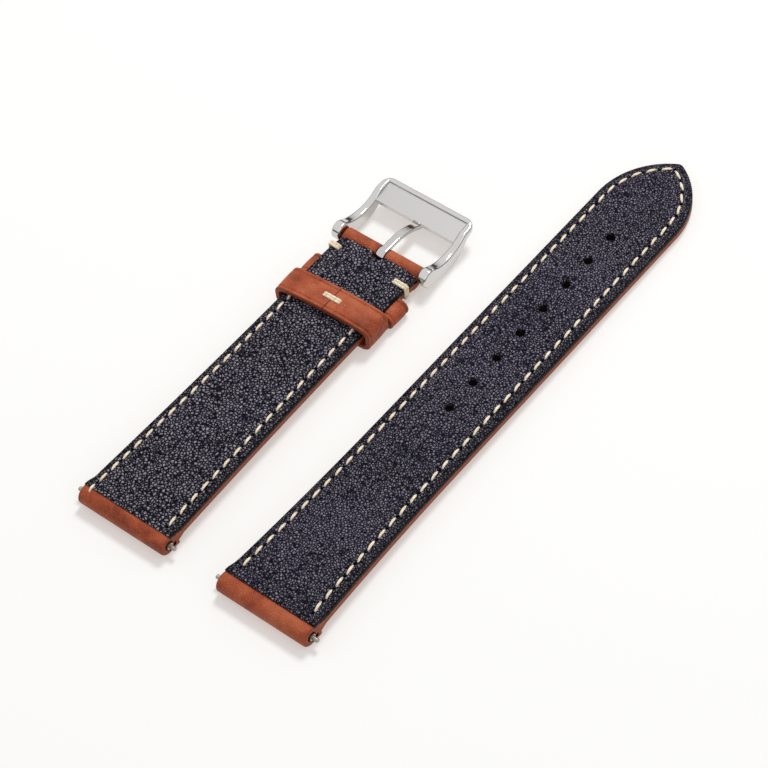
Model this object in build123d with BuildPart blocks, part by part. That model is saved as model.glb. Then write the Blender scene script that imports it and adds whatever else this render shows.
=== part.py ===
"""Leather watch strap in two halves, lying face down with its lining up.

+X runs along both halves, from the watch lugs towards the tail's point and the buckle. +Y runs
across them and +Z is up. The origin is under the middle of the whole strap, on the surface it lies on.
"""

import os
from math import acos, cos, radians, sin, sqrt

from build123d import *

os.makedirs("parts", exist_ok=True)

# Both halves in plan
lug_width = 20.0
lug_side_clearance = 0.05
tail_length = 125.0
short_length = 76.4
halves_pitch = 32.2
tail_width = 18.0
buckle_end_width = 18.1
flare_start = 4.0
tail_flare_length = 40.0
short_flare_length = 60.0
tip_arc_radius = 16.0
tip_round = 1.2

# Leather layers
top_thickness = 1.15
lining_thickness = 0.9
flap_thickness = 0.85
flap_length = 9.0
glue_line = 0.02
lug_end_height = 4.45
tail_tip_height = 2.8
buckle_end_thickness = 2.55
dome_margin = 4.5
dome_run = 4.0
dome_rise = 1.35
flat_rise = 0.05
core_setback = 0.05
fold_proud = 0.05
cut_overrun = 1.0

# Folds round the bars
lug_tube_radius = 0.9
buckle_tube_radius = 0.75
tunnel_clearance = 0.05
buckle_fold_wall = 0.95
tail_lining_setback = 0.9
short_lining_setback = 0.3
buckle_lining_setback = 1.36
tongue_slot_reach = 2.36
buckle_flap_length = 6.5
buckle_wedge_length = 5.6
buckle_bar_height = 2.65

# Holes for the tongue
hole_count = 8
hole_pitch = 7.0
hole_radius = 0.85
first_hole_from_tip = 71.9

# Sewing
stitch_pitch = 3.0
tail_stitch_margin = 1.9
short_stitch_margin = 1.75
stitch_height = 0.32
stitch_length = 2.8
stitch_width = 0.54
stitch_slant = 6.0
post_radius = 0.25
post_head = 0.03
stitch_hole_radius = 0.35
groove_width = 1.1
groove_depth = 0.45
tail_row_start = 5.0
short_row_start = 3.9
row_end_margin = 1.6

# Tacks over the edges beside the buckle
tack_thread = 0.45
tack_spacing = 0.5
tack_clearance = 0.1
tack_hole_radius = 0.65
left_tack_from_bar = 4.15
left_tack_reach = 1.8
right_tack_from_bar = 4.75
right_tack_reach = 2.6

# Keepers
keeper_wall = 1.05
keeper_corner = 2.2
free_keeper_width = 5.9
free_keeper_outer_width = 22.0
free_keeper_from_lug = 59.2
free_keeper_clearance = 0.2
free_keeper_arch = 0.5
free_keeper_skew = 2.0
keeper_seam = 0.12
keeper_seam_offset = 0.5
keeper_stitch_length = 3.8
keeper_stitch_spacing = 0.55
keeper_thread = 0.4
keeper_thread_clearance = 0.03
keeper_hole_radius = 0.32
fixed_keeper_width = 5.0
fixed_keeper_outer_width = 22.6
fixed_keeper_from_lug = 65.4
fixed_keeper_tab = 0.43
fixed_keeper_butt_gap = 0.3
keeper_pocket_clearance = 0.2

# Spring bars
lug_tube_gap = 1.25
lug_tip_engagement = 1.35
buckle_tube_gap = 0.65
buckle_tip_gap = 0.1
tube_wall = 0.25
lip_length = 0.4
running_clearance = 0.05
seat_clearance = 0.02
lug_tip_radius = 0.45
buckle_tip_radius = 0.33
lug_stem_radius = 0.27
buckle_stem_radius = 0.3
head_length = 0.6
tip_chamfer = 0.1
lug_flange_radius = 0.7
lug_flange_length = 0.3
lug_tip_reach = 1.2
spring_wire = 0.2
spring_turns = 14
spring_wire_sides = 8

# Buckle
buckle_window_width = 18.5
buckle_width = 22.4
buckle_outer_width = 21.2
buckle_corner = 2.0
arm_hole_depth = 1.15
arm_end_radius = 1.9
arm_end_rise = 0.8
arm_dip_reach = 6.3
arm_dip_height = 0.8
arm_low_reach = 6.1
arm_low_drop = 2.3
rim_start_reach = 11.2
rim_start_height = 2.3
rim_height = 2.6
underside_reach = 12.0
plate_reach = 9.45
lip_reach = 13.7
buckle_reach = 14.85
plate_inner_height = 1.2
plate_outer_height = 2.1
plate_inner_thickness = 0.9
plate_outer_thickness = 0.7
rim_lap = 0.3
buckle_edge_round = 0.4

# Tongue
tongue_width = 1.7
tongue_thickness = 0.9
tongue_corner = 0.3
tongue_loop_wall = 0.95
tongue_slot_clearance = 0.25
tongue_flat = 2.95
tongue_bend_radius = 12.0
tongue_bend = 30.0
tongue_straight = 1.0
tongue_flick_radius = 6.0
tongue_flick = 25.0
tongue_tip_length = 1.5

# Places worked out from the sizes above
lug_end = -tail_length / 2
tail_end = tail_length / 2
lug_tunnel_radius = lug_tube_radius + tunnel_clearance
lug_fold_radius = lug_tunnel_radius + top_thickness
lug_bar_x = lug_end + lug_fold_radius
lug_bar_z = lug_fold_radius
buckle_tunnel_radius = buckle_tube_radius + tunnel_clearance
buckle_fold_radius = buckle_tunnel_radius + buckle_fold_wall
buckle_bar_x = lug_end + short_length - buckle_fold_radius
short_lining_end = buckle_bar_x - buckle_lining_setback
tail_y = -halves_pitch / 2
short_y = halves_pitch / 2
lug_half_width = lug_width / 2 - lug_side_clearance
tail_half_width = tail_width / 2
short_half_width = buckle_end_width / 2
buckle_flap_x = buckle_bar_x - buckle_flap_length
buckle_wedge_x = buckle_bar_x - buckle_wedge_length
lug_tube_length = lug_width - 2 * lug_tube_gap
lug_bar_length = lug_width + 2 * lug_tip_engagement
buckle_tube_length = buckle_window_width - 2 * buckle_tube_gap
buckle_bar_length = buckle_window_width + 2 * (arm_hole_depth - buckle_tip_gap)
free_keeper_x = lug_end + free_keeper_from_lug
fixed_keeper_x = lug_end + fixed_keeper_from_lug


def between(start, finish, share):
    """The value this share of the way from start to finish."""
    return start + (finish - start) * share


def tail_lining_height(x):
    """Height of the tail's lining surface above the floor."""
    return between(lug_end_height, tail_tip_height, (x - lug_bar_x) / (tail_end - lug_bar_x))


def short_lining_height(x):
    """The short half's lining lies level, because its buckle end rests on the keepers."""
    return lug_end_height


def short_face_height(x):
    """Height of the short half's face, which rises as the half gets thinner."""
    rise = lug_end_height - buckle_end_thickness
    return between(fold_proud, rise, (x - lug_bar_x) / (short_lining_end - lug_bar_x))


def buckle_face_height(x):
    """Height of the short half's underside where it runs down to the fold round the bar."""
    low = buckle_bar_height - buckle_fold_radius
    return between(short_face_height(buckle_wedge_x), low, (x - buckle_wedge_x) / buckle_wedge_length)


def half_width(x, end_half, flare_length):
    """Half of the strap's width at x: straight at the lug, then a flare, then straight again."""
    run = min(max(lug_end + flare_start + flare_length - x, 0), flare_length)
    radius = flare_radius(end_half, flare_length)
    return end_half + radius - sqrt(radius**2 - run**2)


def flare_radius(end_half, flare_length):
    """Radius of the hollow curve that narrows the strap."""
    drop = lug_half_width - end_half
    return (flare_length**2 + drop**2) / (2 * drop)


def across(x, y, skew=0):
    """Plane square to the strap at x, with its own X along +Y and its own Y up."""
    lean = radians(skew)
    return Plane(origin=(x, y, 0), x_dir=(-sin(lean), cos(lean), 0), z_dir=(cos(lean), sin(lean), 0))


def along(y):
    """Plane along the strap at y, with its own X along +X and its own Y up."""
    return Plane(origin=(0, y, 0), x_dir=(1, 0, 0), z_dir=(0, -1, 0))


def side_edge(start_x, end_half, flare_length, inset):
    """One side of a half in plan, down to the end of its flare."""
    wide = half_width(start_x, end_half, flare_length) - inset
    flare_x = max(start_x, lug_end + flare_start)
    flare_end = lug_end + flare_start + flare_length
    if flare_x > start_x:
        Line((start_x, wide), (flare_x, wide))
    RadiusArc((flare_x, wide), (flare_end, end_half - inset), flare_radius(end_half, flare_length))


def tail_side(start_x, inset):
    """One side of the tail in plan, from start_x to its point, drawn in the open line builder."""
    flare_end = lug_end + flare_start + tail_flare_length
    narrow = tail_half_width - inset
    side_edge(start_x, tail_half_width, tail_flare_length, inset)
    Line((flare_end, narrow), (tip_arc_x, narrow))
    apex_x = tip_arc_x + sqrt((tip_arc_radius - inset) ** 2 - tip_arc_offset**2)
    TangentArc((tip_arc_x, narrow), (apex_x, 0), tangent=(1, 0))


def short_side(start_x, end_x, inset):
    """One side of the short half in plan, from start_x to end_x, drawn in the open line builder."""
    flare_end = lug_end + flare_start + short_flare_length
    narrow = short_half_width - inset
    side_edge(start_x, short_half_width, short_flare_length, inset)
    Line((flare_end, narrow), (end_x, narrow))


def tail_plan(start_x, inset=0):
    """The tail's outline in plan, set in by inset all round."""
    wide = half_width(start_x, tail_half_width, tail_flare_length) - inset
    with BuildSketch(Plane((0, tail_y, 0))) as plan:
        with BuildLine():
            Line((start_x, 0), (start_x, wide))
            tail_side(start_x, inset)
            mirror(about=Plane.XZ)
        make_face()
        fillet(plan.vertices().sort_by(Axis.X)[-1], tip_round)
    return plan.sketch


def short_plan(start_x, end_x, inset=0):
    """The short half's outline in plan between two places, set in by inset at both sides."""
    near_x = lug_end - cut_overrun
    far_x = buckle_bar_x + buckle_fold_radius + cut_overrun
    with BuildSketch(Plane((0, short_y, 0))) as plan:
        with BuildLine():
            Line((near_x, 0), (near_x, lug_half_width - inset))
            short_side(near_x, far_x, inset)
            Line((far_x, short_half_width - inset), (far_x, 0))
            mirror(about=Plane.XZ)
        make_face()
        with Locations(((start_x + end_x) / 2, 0)):
            Rectangle(end_x - start_x, 2 * lug_width, mode=Mode.INTERSECT)
    return plan.sketch


def upright_profile(y, corners):
    """A flat shape along the strap at y, given by its corners as x and height."""
    with BuildSketch(along(y)) as profile:
        with BuildLine():
            Polyline(*corners, close=True)
        make_face()
    return profile.sketch


def padded_section(x, y, half, rise, under, thickness=None, over=None):
    """Section across a layer at x: flat below in the middle, with edges that curve up by rise.

    A layer with a thickness curves the same way above. A layer with over is flat above.
    """
    flat = half - dome_margin
    full = half + cut_overrun
    lift = rise * ((full - flat) / dome_margin) ** 2
    with BuildSketch(across(x, y)) as section:
        with BuildLine():
            Line((-flat, under), (flat, under))
            TangentArc((flat, under), (full, under + lift), tangent=(1, 0))
            TangentArc((-flat, under), (-full, under + lift), tangent=(-1, 0))
            if over is None:
                Line((full, under + lift), (full, under + thickness + lift))
                Line((-full, under + lift), (-full, under + thickness + lift))
                Line((-flat, under + thickness), (flat, under + thickness))
                TangentArc((flat, under + thickness), (full, under + thickness + lift), tangent=(1, 0))
                TangentArc((-flat, under + thickness), (-full, under + thickness + lift), tangent=(-1, 0))
            else:
                Line((full, under + lift), (full, over))
                Line((-full, under + lift), (-full, over))
                Line((-full, over), (full, over))
        make_face()
    return section.sketch


def hole_spots(path, count, spacing):
    """Sewing holes along a path that starts at the lug."""
    from_lug = (path @ 0).X < (path @ 1).X
    reaches = [spacing * k if from_lug else path.length - spacing * k for k in range(count + 1)]
    return [path.position_at(reach, PositionMode.LENGTH) for reach in reaches]


def stitch_places(holes, height, upwards):
    """A place for the stitch between each hole and the next, lying on the surface of that height."""
    places = []
    for first, second in zip(holes, holes[1:]):
        middle = (first + second) / 2
        lean = Vector(second.X - first.X, second.Y - first.Y, height(second.X) - height(first.X))
        side = Vector(-lean.Y, lean.X, 0) if upwards else Vector(lean.Y, -lean.X, 0)
        spot = (middle.X, middle.Y, height(middle.X))
        places.append(Plane(origin=spot, x_dir=lean, z_dir=lean.cross(side)).location)
    return places


def sew(stitch, holes, over, under):
    """All the pieces of one sewing thread: stitches on both sides and the thread in each hole."""
    pieces = [stitch.moved(place) for place in stitch_places(holes, over, True)]
    pieces += [stitch.moved(place) for place in stitch_places(holes, under, False)]
    for hole in holes:
        low = under(hole.X) - post_head
        height = over(hole.X) + post_head - low
        post = Cylinder(post_radius, height, mode=Mode.PRIVATE)
        pieces.append(post.moved(Location((hole.X, hole.Y, low + height / 2))))
    return pieces


# Point of the tail: two arcs that meet, with their corner rounded
tip_arc_offset = tip_arc_radius - tail_half_width
tip_angle = acos(tip_arc_offset / tip_arc_radius)
sharp_tip_x = tail_end + tip_round * (1 / sin(tip_angle) - 1)
tip_arc_x = sharp_tip_x - tip_arc_radius * sin(tip_angle)

# Sewing holes of the tail, up one side, round the point and back
with BuildLine() as tail_row:
    tail_side(lug_end + tail_row_start, tail_stitch_margin)
tail_path = tail_row.wires()[0]
tail_count = round(tail_path.length / stitch_pitch)
tail_side_holes = hole_spots(tail_path, tail_count, tail_path.length / tail_count)
tail_holes = [Vector(spot.X, tail_y + spot.Y) for spot in tail_side_holes]
tail_holes += [Vector(spot.X, tail_y - spot.Y) for spot in reversed(tail_side_holes[:-1])]

# Sewing holes of the short half, which stop before the fixed keeper
short_row_x = lug_end + short_row_start
short_row_end = fixed_keeper_x - fixed_keeper_width / 2 - row_end_margin
with BuildLine() as short_row:
    short_side(short_row_x, short_lining_end, short_stitch_margin)
short_count = int((short_row_end - short_row_x) / stitch_pitch)
short_side_holes = hole_spots(short_row.wires()[0], short_count, stitch_pitch)
short_left_holes = [Vector(spot.X, short_y + spot.Y) for spot in short_side_holes]
short_right_holes = [Vector(spot.X, short_y - spot.Y) for spot in short_side_holes]

# Holes for the tongue and the whole plan of each half
first_hole_x = tail_end - first_hole_from_tip
tongue_holes = [Vector(first_hole_x + hole_pitch * k, tail_y) for k in range(hole_count)]
clear_height = lug_end_height + cut_overrun
whole_tail = tail_plan(lug_end - cut_overrun)
short_outer_x = buckle_bar_x + buckle_fold_radius + cut_overrun
whole_short = short_plan(lug_end - cut_overrun, short_outer_x)


def bar_place(x, y, z):
    """Plane with its own X along a bar and its own Y up, at the bar's middle."""
    return Plane(origin=(x, y, z), x_dir=(0, 1, 0), z_dir=(1, 0, 0))


def rod(x, y, z, radius, length):
    """A plain rod across the strap."""
    return bar_place(x, y, z) * Rot(0, 90, 0) * Cylinder(radius, length, mode=Mode.PRIVATE)


def bar_section(place, corners):
    """Half of a turned part's outline, as places along the bar and radii."""
    with BuildSketch(place) as section:
        with BuildLine():
            Polyline(*corners, close=True)
        make_face()
    return section.sketch


def tube_section(place, radius, length, lip_radius):
    """Half of a spring bar's tube cut lengthwise, with a lip at each end that holds the tips in."""
    half = length / 2
    bore = radius - tube_wall
    corners = [(half - lip_length, bore), (half - lip_length, lip_radius), (half, lip_radius), (half, radius)]
    corners += [(-reach, out) for reach, out in reversed(corners)]
    return bar_section(place, corners)


def head_end(tube_length):
    """Where a tip's head stops against the lip of its tube."""
    return tube_length / 2 - lip_length - seat_clearance


def tip_section(place, side, tube_radius, tube_length, bar_length, stem_radius, tip_radius, flange):
    """Half of a spring bar's tip cut lengthwise: head inside the tube, stem, flange and nose."""
    head_radius = tube_radius - tube_wall - running_clearance
    stop = head_end(tube_length)
    nose = bar_length / 2
    corners = [(stop - head_length, 0), (stop - head_length, head_radius)]
    corners += [(stop, head_radius), (stop, stem_radius)]
    if flange:
        outer = nose - lug_tip_reach
        inner = outer - lug_flange_length
        corners += [(inner, stem_radius), (inner, lug_flange_radius)]
        corners += [(outer, lug_flange_radius), (outer, tip_radius)]
    else:
        shoulder = nose - arm_hole_depth
        corners += [(shoulder, stem_radius), (shoulder, tip_radius)]
    corners += [(nose - tip_chamfer, tip_radius), (nose, tip_radius - tip_chamfer), (nose, 0)]
    return bar_section(place, [(side * reach, out) for reach, out in corners])


def coil_path(place, tube_radius, tube_length):
    """Middle line of the coil spring between the two heads in a tube."""
    room = 2 * (head_end(tube_length) - head_length) - 2 * spring_wire
    radius = tube_radius - tube_wall - running_clearance - spring_wire / 2
    start = place.origin - Vector(0, room / 2, 0)
    return Helix(room / spring_turns, room, radius, center=start, direction=(0, 1, 0))


# Stitch between two holes, made once: an arch of thread that lies on the leather
stitch_lean = radians(stitch_slant)
stitch_side = Plane(
    origin=(0, 0, 0),
    x_dir=(cos(stitch_lean), sin(stitch_lean), 0),
    z_dir=(sin(stitch_lean), -cos(stitch_lean), 0),
)
with BuildPart() as stitch:
    with BuildSketch(stitch_side):
        with BuildLine():
            Line((-stitch_length / 2, 0), (stitch_length / 2, 0))
            ThreePointArc((-stitch_length / 2, 0), (0, stitch_height), (stitch_length / 2, 0))
        make_face()
    extrude(amount=stitch_width / 2, both=True)

# Tail half: the padded stack of layers is drawn at its lug, where its edges curve up most, and at its end
tail_far_x = tail_end + cut_overrun
tail_stations = [lug_bar_x, lug_bar_x + dome_run, tail_far_x]
tail_halves = [half_width(x, tail_half_width, tail_flare_length) for x in tail_stations]
tail_rises = [flat_rise, dome_rise, flat_rise]
tail_linings = [tail_lining_height(x) for x in tail_stations]
tail_flap_x = lug_bar_x + flap_length
tail_flap_corners = [
    (lug_bar_x, tail_lining_height(lug_bar_x) - lining_thickness),
    (tail_flap_x, tail_lining_height(tail_flap_x) - lining_thickness),
    (tail_flap_x, tail_lining_height(tail_flap_x) - lining_thickness - flap_thickness),
    (lug_bar_x, tail_lining_height(lug_bar_x) - lining_thickness - flap_thickness),
]

# Groove that keeps the stitches on the tail's face below the leather
with BuildPart() as tail_groove:
    with BuildSketch():
        add(tail_plan(lug_end + tail_row_start - groove_width / 2, tail_stitch_margin - groove_width / 2))
        add(tail_plan(lug_end, tail_stitch_margin + groove_width / 2), mode=Mode.SUBTRACT)
    extrude(amount=clear_height)
    extrude(upright_profile(tail_y, [
        (lug_end, -cut_overrun),
        (tail_end, -cut_overrun),
        (tail_end, groove_depth),
        (lug_end, groove_depth),
    ]), amount=lug_width, both=True, mode=Mode.INTERSECT)

with BuildPart() as tail_top_leather:
    loft([
        padded_section(x, tail_y, half, rise, 0, thickness=top_thickness)
        for x, half, rise in zip(tail_stations, tail_halves, tail_rises)
    ], ruled=True)
    extrude(upright_profile(tail_y, tail_flap_corners), amount=lug_width, both=True)
    add(rod(lug_bar_x, tail_y, lug_bar_z, lug_fold_radius, 2 * lug_width))
    extrude(whole_tail, amount=clear_height, mode=Mode.INTERSECT)
    add(rod(lug_bar_x, tail_y, lug_bar_z, lug_tunnel_radius, 2 * lug_width), mode=Mode.SUBTRACT)
    add(tail_groove.part, mode=Mode.SUBTRACT)
    with Locations(*tail_holes):
        Cylinder(stitch_hole_radius, 2 * clear_height, mode=Mode.SUBTRACT)
    with Locations(*tongue_holes):
        Cylinder(hole_radius, 2 * clear_height, mode=Mode.SUBTRACT)
tail_top_leather.part.label = "tail_top_leather"
export_step(tail_top_leather.part, "parts/tail_top_leather.step")

with BuildPart() as tail_core:
    loft([
        padded_section(x, tail_y, half, rise, top_thickness, over=lining - lining_thickness)
        for x, half, rise, lining in zip(tail_stations, tail_halves, tail_rises, tail_linings)
    ], ruled=True)
    extrude(tail_plan(lug_bar_x + lug_fold_radius + core_setback), amount=clear_height, mode=Mode.INTERSECT)
    extrude(upright_profile(tail_y, tail_flap_corners), amount=lug_width, both=True, mode=Mode.SUBTRACT)
    with Locations(*tail_holes):
        Cylinder(stitch_hole_radius, 2 * clear_height, mode=Mode.SUBTRACT)
    with Locations(*tongue_holes):
        Cylinder(hole_radius, 2 * clear_height, mode=Mode.SUBTRACT)
tail_core.part.label = "tail_core"
export_step(tail_core.part, "parts/tail_core.step")

with BuildPart() as tail_lining:
    tail_lining_x = lug_bar_x + tail_lining_setback
    extrude(upright_profile(tail_y, [
        (tail_lining_x, tail_lining_height(tail_lining_x)),
        (tail_far_x, tail_lining_height(tail_far_x)),
        (tail_far_x, tail_lining_height(tail_far_x) - lining_thickness),
        (tail_lining_x, tail_lining_height(tail_lining_x) - lining_thickness),
    ]), amount=lug_width, both=True)
    extrude(whole_tail, amount=clear_height, mode=Mode.INTERSECT)
    add(rod(lug_bar_x, tail_y, lug_bar_z, lug_fold_radius + glue_line, 2 * lug_width), mode=Mode.SUBTRACT)
    with Locations(*tail_holes):
        Cylinder(stitch_hole_radius, 2 * clear_height, mode=Mode.SUBTRACT)
    with Locations(*tongue_holes):
        Cylinder(hole_radius, 2 * clear_height, mode=Mode.SUBTRACT)
tail_lining.part.label = "tail_lining"
export_step(tail_lining.part, "parts/tail_lining.step")


def tail_groove_height(x):
    """Floor of the groove in the tail's face, which lies flat on the floor all along."""
    return groove_depth


with BuildPart() as tail_thread:
    add(sew(stitch.part, tail_holes, tail_lining_height, tail_groove_height))
tail_thread.part.label = "tail_thread"
export_step(tail_thread.part, "parts/tail_thread.step")


def tack_edge(middle_x):
    """Half of the short half's width at the outer thread of a tack."""
    return half_width(middle_x - tack_spacing, short_half_width, short_flare_length)


# Short half: the same stack, which ends in a fold round the buckle's bar
short_stations = [lug_bar_x, lug_bar_x + dome_run, buckle_bar_x]
short_halves = [half_width(x, short_half_width, short_flare_length) for x in short_stations]
short_rises = [flat_rise, dome_rise, flat_rise]
short_faces = [short_face_height(x) for x in short_stations]
short_flap_x = lug_bar_x + flap_length
under_lining = lug_end_height - lining_thickness
short_flap_corners = [
    (lug_bar_x, under_lining),
    (short_flap_x, under_lining),
    (short_flap_x, under_lining - flap_thickness),
    (lug_bar_x, under_lining - flap_thickness),
]
buckle_flap_corners = [
    (buckle_flap_x, under_lining),
    (buckle_bar_x, under_lining),
    (buckle_bar_x, buckle_face_height(buckle_bar_x)),
    (buckle_wedge_x, short_face_height(buckle_wedge_x)),
    (buckle_flap_x, short_face_height(buckle_flap_x) + top_thickness / 2),
]
tacks = [
    (1, left_tack_from_bar, left_tack_reach),
    (-1, right_tack_from_bar, right_tack_reach),
]
tack_holes = [
    Vector(buckle_bar_x - back, short_y + side * (tack_edge(buckle_bar_x - back) - reach))
    for side, back, reach in tacks
]

# Groove that keeps the stitches on the short half's face below the leather
with BuildPart() as short_groove:
    groove_start_x = short_row_x - groove_width / 2
    groove_end_x = short_left_holes[-1].X + groove_width / 2
    with BuildSketch():
        add(short_plan(groove_start_x, groove_end_x, short_stitch_margin - groove_width / 2))
        add(short_plan(lug_end, groove_end_x + cut_overrun, short_stitch_margin + groove_width / 2),
            mode=Mode.SUBTRACT)
    extrude(amount=clear_height)
    extrude(upright_profile(short_y, [
        (lug_bar_x, -cut_overrun),
        (buckle_bar_x, -cut_overrun),
        (buckle_bar_x, short_face_height(buckle_bar_x) + groove_depth),
        (lug_bar_x, short_face_height(lug_bar_x) + groove_depth),
    ]), amount=lug_width, both=True, mode=Mode.INTERSECT)

# Slot through the layers, in which the tongue's loop turns
slot_width = tongue_width + 2 * tongue_slot_clearance
tongue_slot = upright_profile(short_y, [
    (buckle_bar_x - tongue_slot_reach, -cut_overrun),
    (short_outer_x, -cut_overrun),
    (short_outer_x, clear_height),
    (buckle_bar_x - tongue_slot_reach, clear_height),
])

with BuildPart() as short_top_leather:
    loft([
        padded_section(x, short_y, half, rise, face, thickness=top_thickness)
        for x, half, rise, face in zip(short_stations, short_halves, short_rises, short_faces)
    ], ruled=True)
    extrude(upright_profile(short_y, short_flap_corners), amount=lug_width, both=True)
    extrude(upright_profile(short_y, buckle_flap_corners), amount=lug_width, both=True)
    add(rod(lug_bar_x, short_y, lug_bar_z, lug_fold_radius, 2 * lug_width))
    add(rod(buckle_bar_x, short_y, buckle_bar_height, buckle_fold_radius, 2 * lug_width))
    extrude(whole_short, amount=clear_height, mode=Mode.INTERSECT)
    add(rod(lug_bar_x, short_y, lug_bar_z, lug_tunnel_radius, 2 * lug_width), mode=Mode.SUBTRACT)
    buckle_tunnel = rod(buckle_bar_x, short_y, buckle_bar_height, buckle_tunnel_radius, 2 * lug_width)
    add(buckle_tunnel, mode=Mode.SUBTRACT)
    add(short_groove.part, mode=Mode.SUBTRACT)
    with Locations(*short_left_holes, *short_right_holes):
        Cylinder(stitch_hole_radius, 2 * clear_height, mode=Mode.SUBTRACT)
    with Locations(*tack_holes):
        Cylinder(tack_hole_radius, 2 * clear_height, mode=Mode.SUBTRACT)
    extrude(tongue_slot, amount=slot_width / 2, both=True, mode=Mode.SUBTRACT)
short_top_leather.part.label = "short_top_leather"
export_step(short_top_leather.part, "parts/short_top_leather.step")

# The core stops where the fixed keeper's ends are held between the layers
with BuildPart() as short_core:
    core_end_x = fixed_keeper_x - fixed_keeper_width / 2 - keeper_pocket_clearance
    loft([
        padded_section(x, short_y, half, rise, face + top_thickness, over=under_lining)
        for x, half, rise, face in zip(short_stations, short_halves, short_rises, short_faces)
    ], ruled=True)
    extrude(short_plan(lug_bar_x + lug_fold_radius + core_setback, core_end_x), amount=clear_height,
            mode=Mode.INTERSECT)
    extrude(upright_profile(short_y, short_flap_corners), amount=lug_width, both=True, mode=Mode.SUBTRACT)
    with Locations(*short_left_holes, *short_right_holes):
        Cylinder(stitch_hole_radius, 2 * clear_height, mode=Mode.SUBTRACT)
short_core.part.label = "short_core"
export_step(short_core.part, "parts/short_core.step")

with BuildPart() as short_lining:
    extrude(short_plan(lug_bar_x + short_lining_setback, short_lining_end), amount=lug_end_height)
    extrude(short_plan(lug_end, short_outer_x), amount=under_lining, mode=Mode.SUBTRACT)
    add(rod(lug_bar_x, short_y, lug_bar_z, lug_fold_radius + glue_line, 2 * lug_width), mode=Mode.SUBTRACT)
    buckle_roll = rod(buckle_bar_x, short_y, buckle_bar_height, buckle_fold_radius + glue_line, 2 * lug_width)
    add(buckle_roll, mode=Mode.SUBTRACT)
    extrude(tongue_slot, amount=slot_width / 2, both=True, mode=Mode.SUBTRACT)
    with Locations(*short_left_holes, *short_right_holes):
        Cylinder(stitch_hole_radius, 2 * clear_height, mode=Mode.SUBTRACT)
    with Locations(*tack_holes):
        Cylinder(tack_hole_radius, 2 * clear_height, mode=Mode.SUBTRACT)
short_lining.part.label = "short_lining"
export_step(short_lining.part, "parts/short_lining.step")


def short_groove_height(x):
    """Floor of the groove in the short half's face."""
    return short_face_height(x) + groove_depth


with BuildPart() as short_thread_left:
    add(sew(stitch.part, short_left_holes, short_lining_height, short_groove_height))
short_thread_left.part.label = "short_thread_left"
export_step(short_thread_left.part, "parts/short_thread_left.step")

with BuildPart() as short_thread_right:
    add(sew(stitch.part, short_right_holes, short_lining_height, short_groove_height))
short_thread_right.part.label = "short_thread_right"
export_step(short_thread_right.part, "parts/short_thread_right.step")


def tack_sections(side, from_bar, reach):
    """Two threads side by side, each wrapped over the edge and through the hole in from it."""
    middle_x = buckle_bar_x - from_bar
    edge_y = tack_edge(middle_x) + tack_clearance
    hole_y = tack_edge(middle_x) - reach
    over = lug_end_height + tack_clearance
    under = buckle_face_height(middle_x) - tack_clearance
    low = min(under, short_face_height(middle_x) - tack_clearance)
    sections = []
    for x in (middle_x - tack_spacing / 2, middle_x + tack_spacing / 2):
        with BuildSketch(across(x, short_y)) as section:
            with Locations((side * (edge_y + hole_y) / 2, (over + low) / 2)):
                RectangleRounded(edge_y - hole_y + 2 * tack_thread, over - low + 2 * tack_thread, tack_thread)
                Rectangle(edge_y - hole_y, over - low, mode=Mode.SUBTRACT)
        sections.append(section.sketch)
    return sections


with BuildPart() as buckle_tack_left:
    for wrap in tack_sections(*tacks[0]):
        extrude(wrap, amount=tack_thread / 2, both=True)
buckle_tack_left.part.label = "buckle_tack_left"
export_step(buckle_tack_left.part, "parts/buckle_tack_left.step")

with BuildPart() as buckle_tack_right:
    for wrap in tack_sections(*tacks[1]):
        extrude(wrap, amount=tack_thread / 2, both=True)
buckle_tack_right.part.label = "buckle_tack_right"
export_step(buckle_tack_right.part, "parts/buckle_tack_right.step")

# Fixed keeper: a loop round the face whose two ends meet between the layers
with BuildPart() as fixed_keeper:
    keeper_half = fixed_keeper_outer_width / 2
    with BuildSketch(across(fixed_keeper_x, short_y)):
        with Locations((0, under_lining / 2)):
            RectangleRounded(2 * keeper_half, under_lining, under_lining / 2 - seat_clearance)
        with Locations((0, (keeper_wall + under_lining - fixed_keeper_tab) / 2)):
            inner_height = under_lining - fixed_keeper_tab - keeper_wall
            RectangleRounded(2 * (keeper_half - keeper_wall), inner_height, inner_height / 2 - seat_clearance,
                             mode=Mode.SUBTRACT)
        with Locations((0, under_lining)):
            Rectangle(fixed_keeper_butt_gap, under_lining, mode=Mode.SUBTRACT)
    extrude(amount=fixed_keeper_width / 2, both=True)
fixed_keeper.part.label = "fixed_keeper"
export_step(fixed_keeper.part, "parts/fixed_keeper.step")


def free_keeper_outline(inset):
    """The free keeper's loop, set in by inset: level below, arched above, with rounded corners."""
    half = free_keeper_outer_width / 2 - inset
    shoulder = lug_end_height + free_keeper_clearance + keeper_wall - inset
    with BuildSketch(free_keeper_place) as loop:
        with BuildLine():
            Line((-half, shoulder), (-half, inset))
            Line((-half, inset), (half, inset))
            Line((half, inset), (half, shoulder))
            ThreePointArc((-half, shoulder), (0, shoulder + free_keeper_arch), (half, shoulder))
        make_face()
        fillet(loop.vertices(), keeper_corner - inset)
    return loop.sketch


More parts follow.
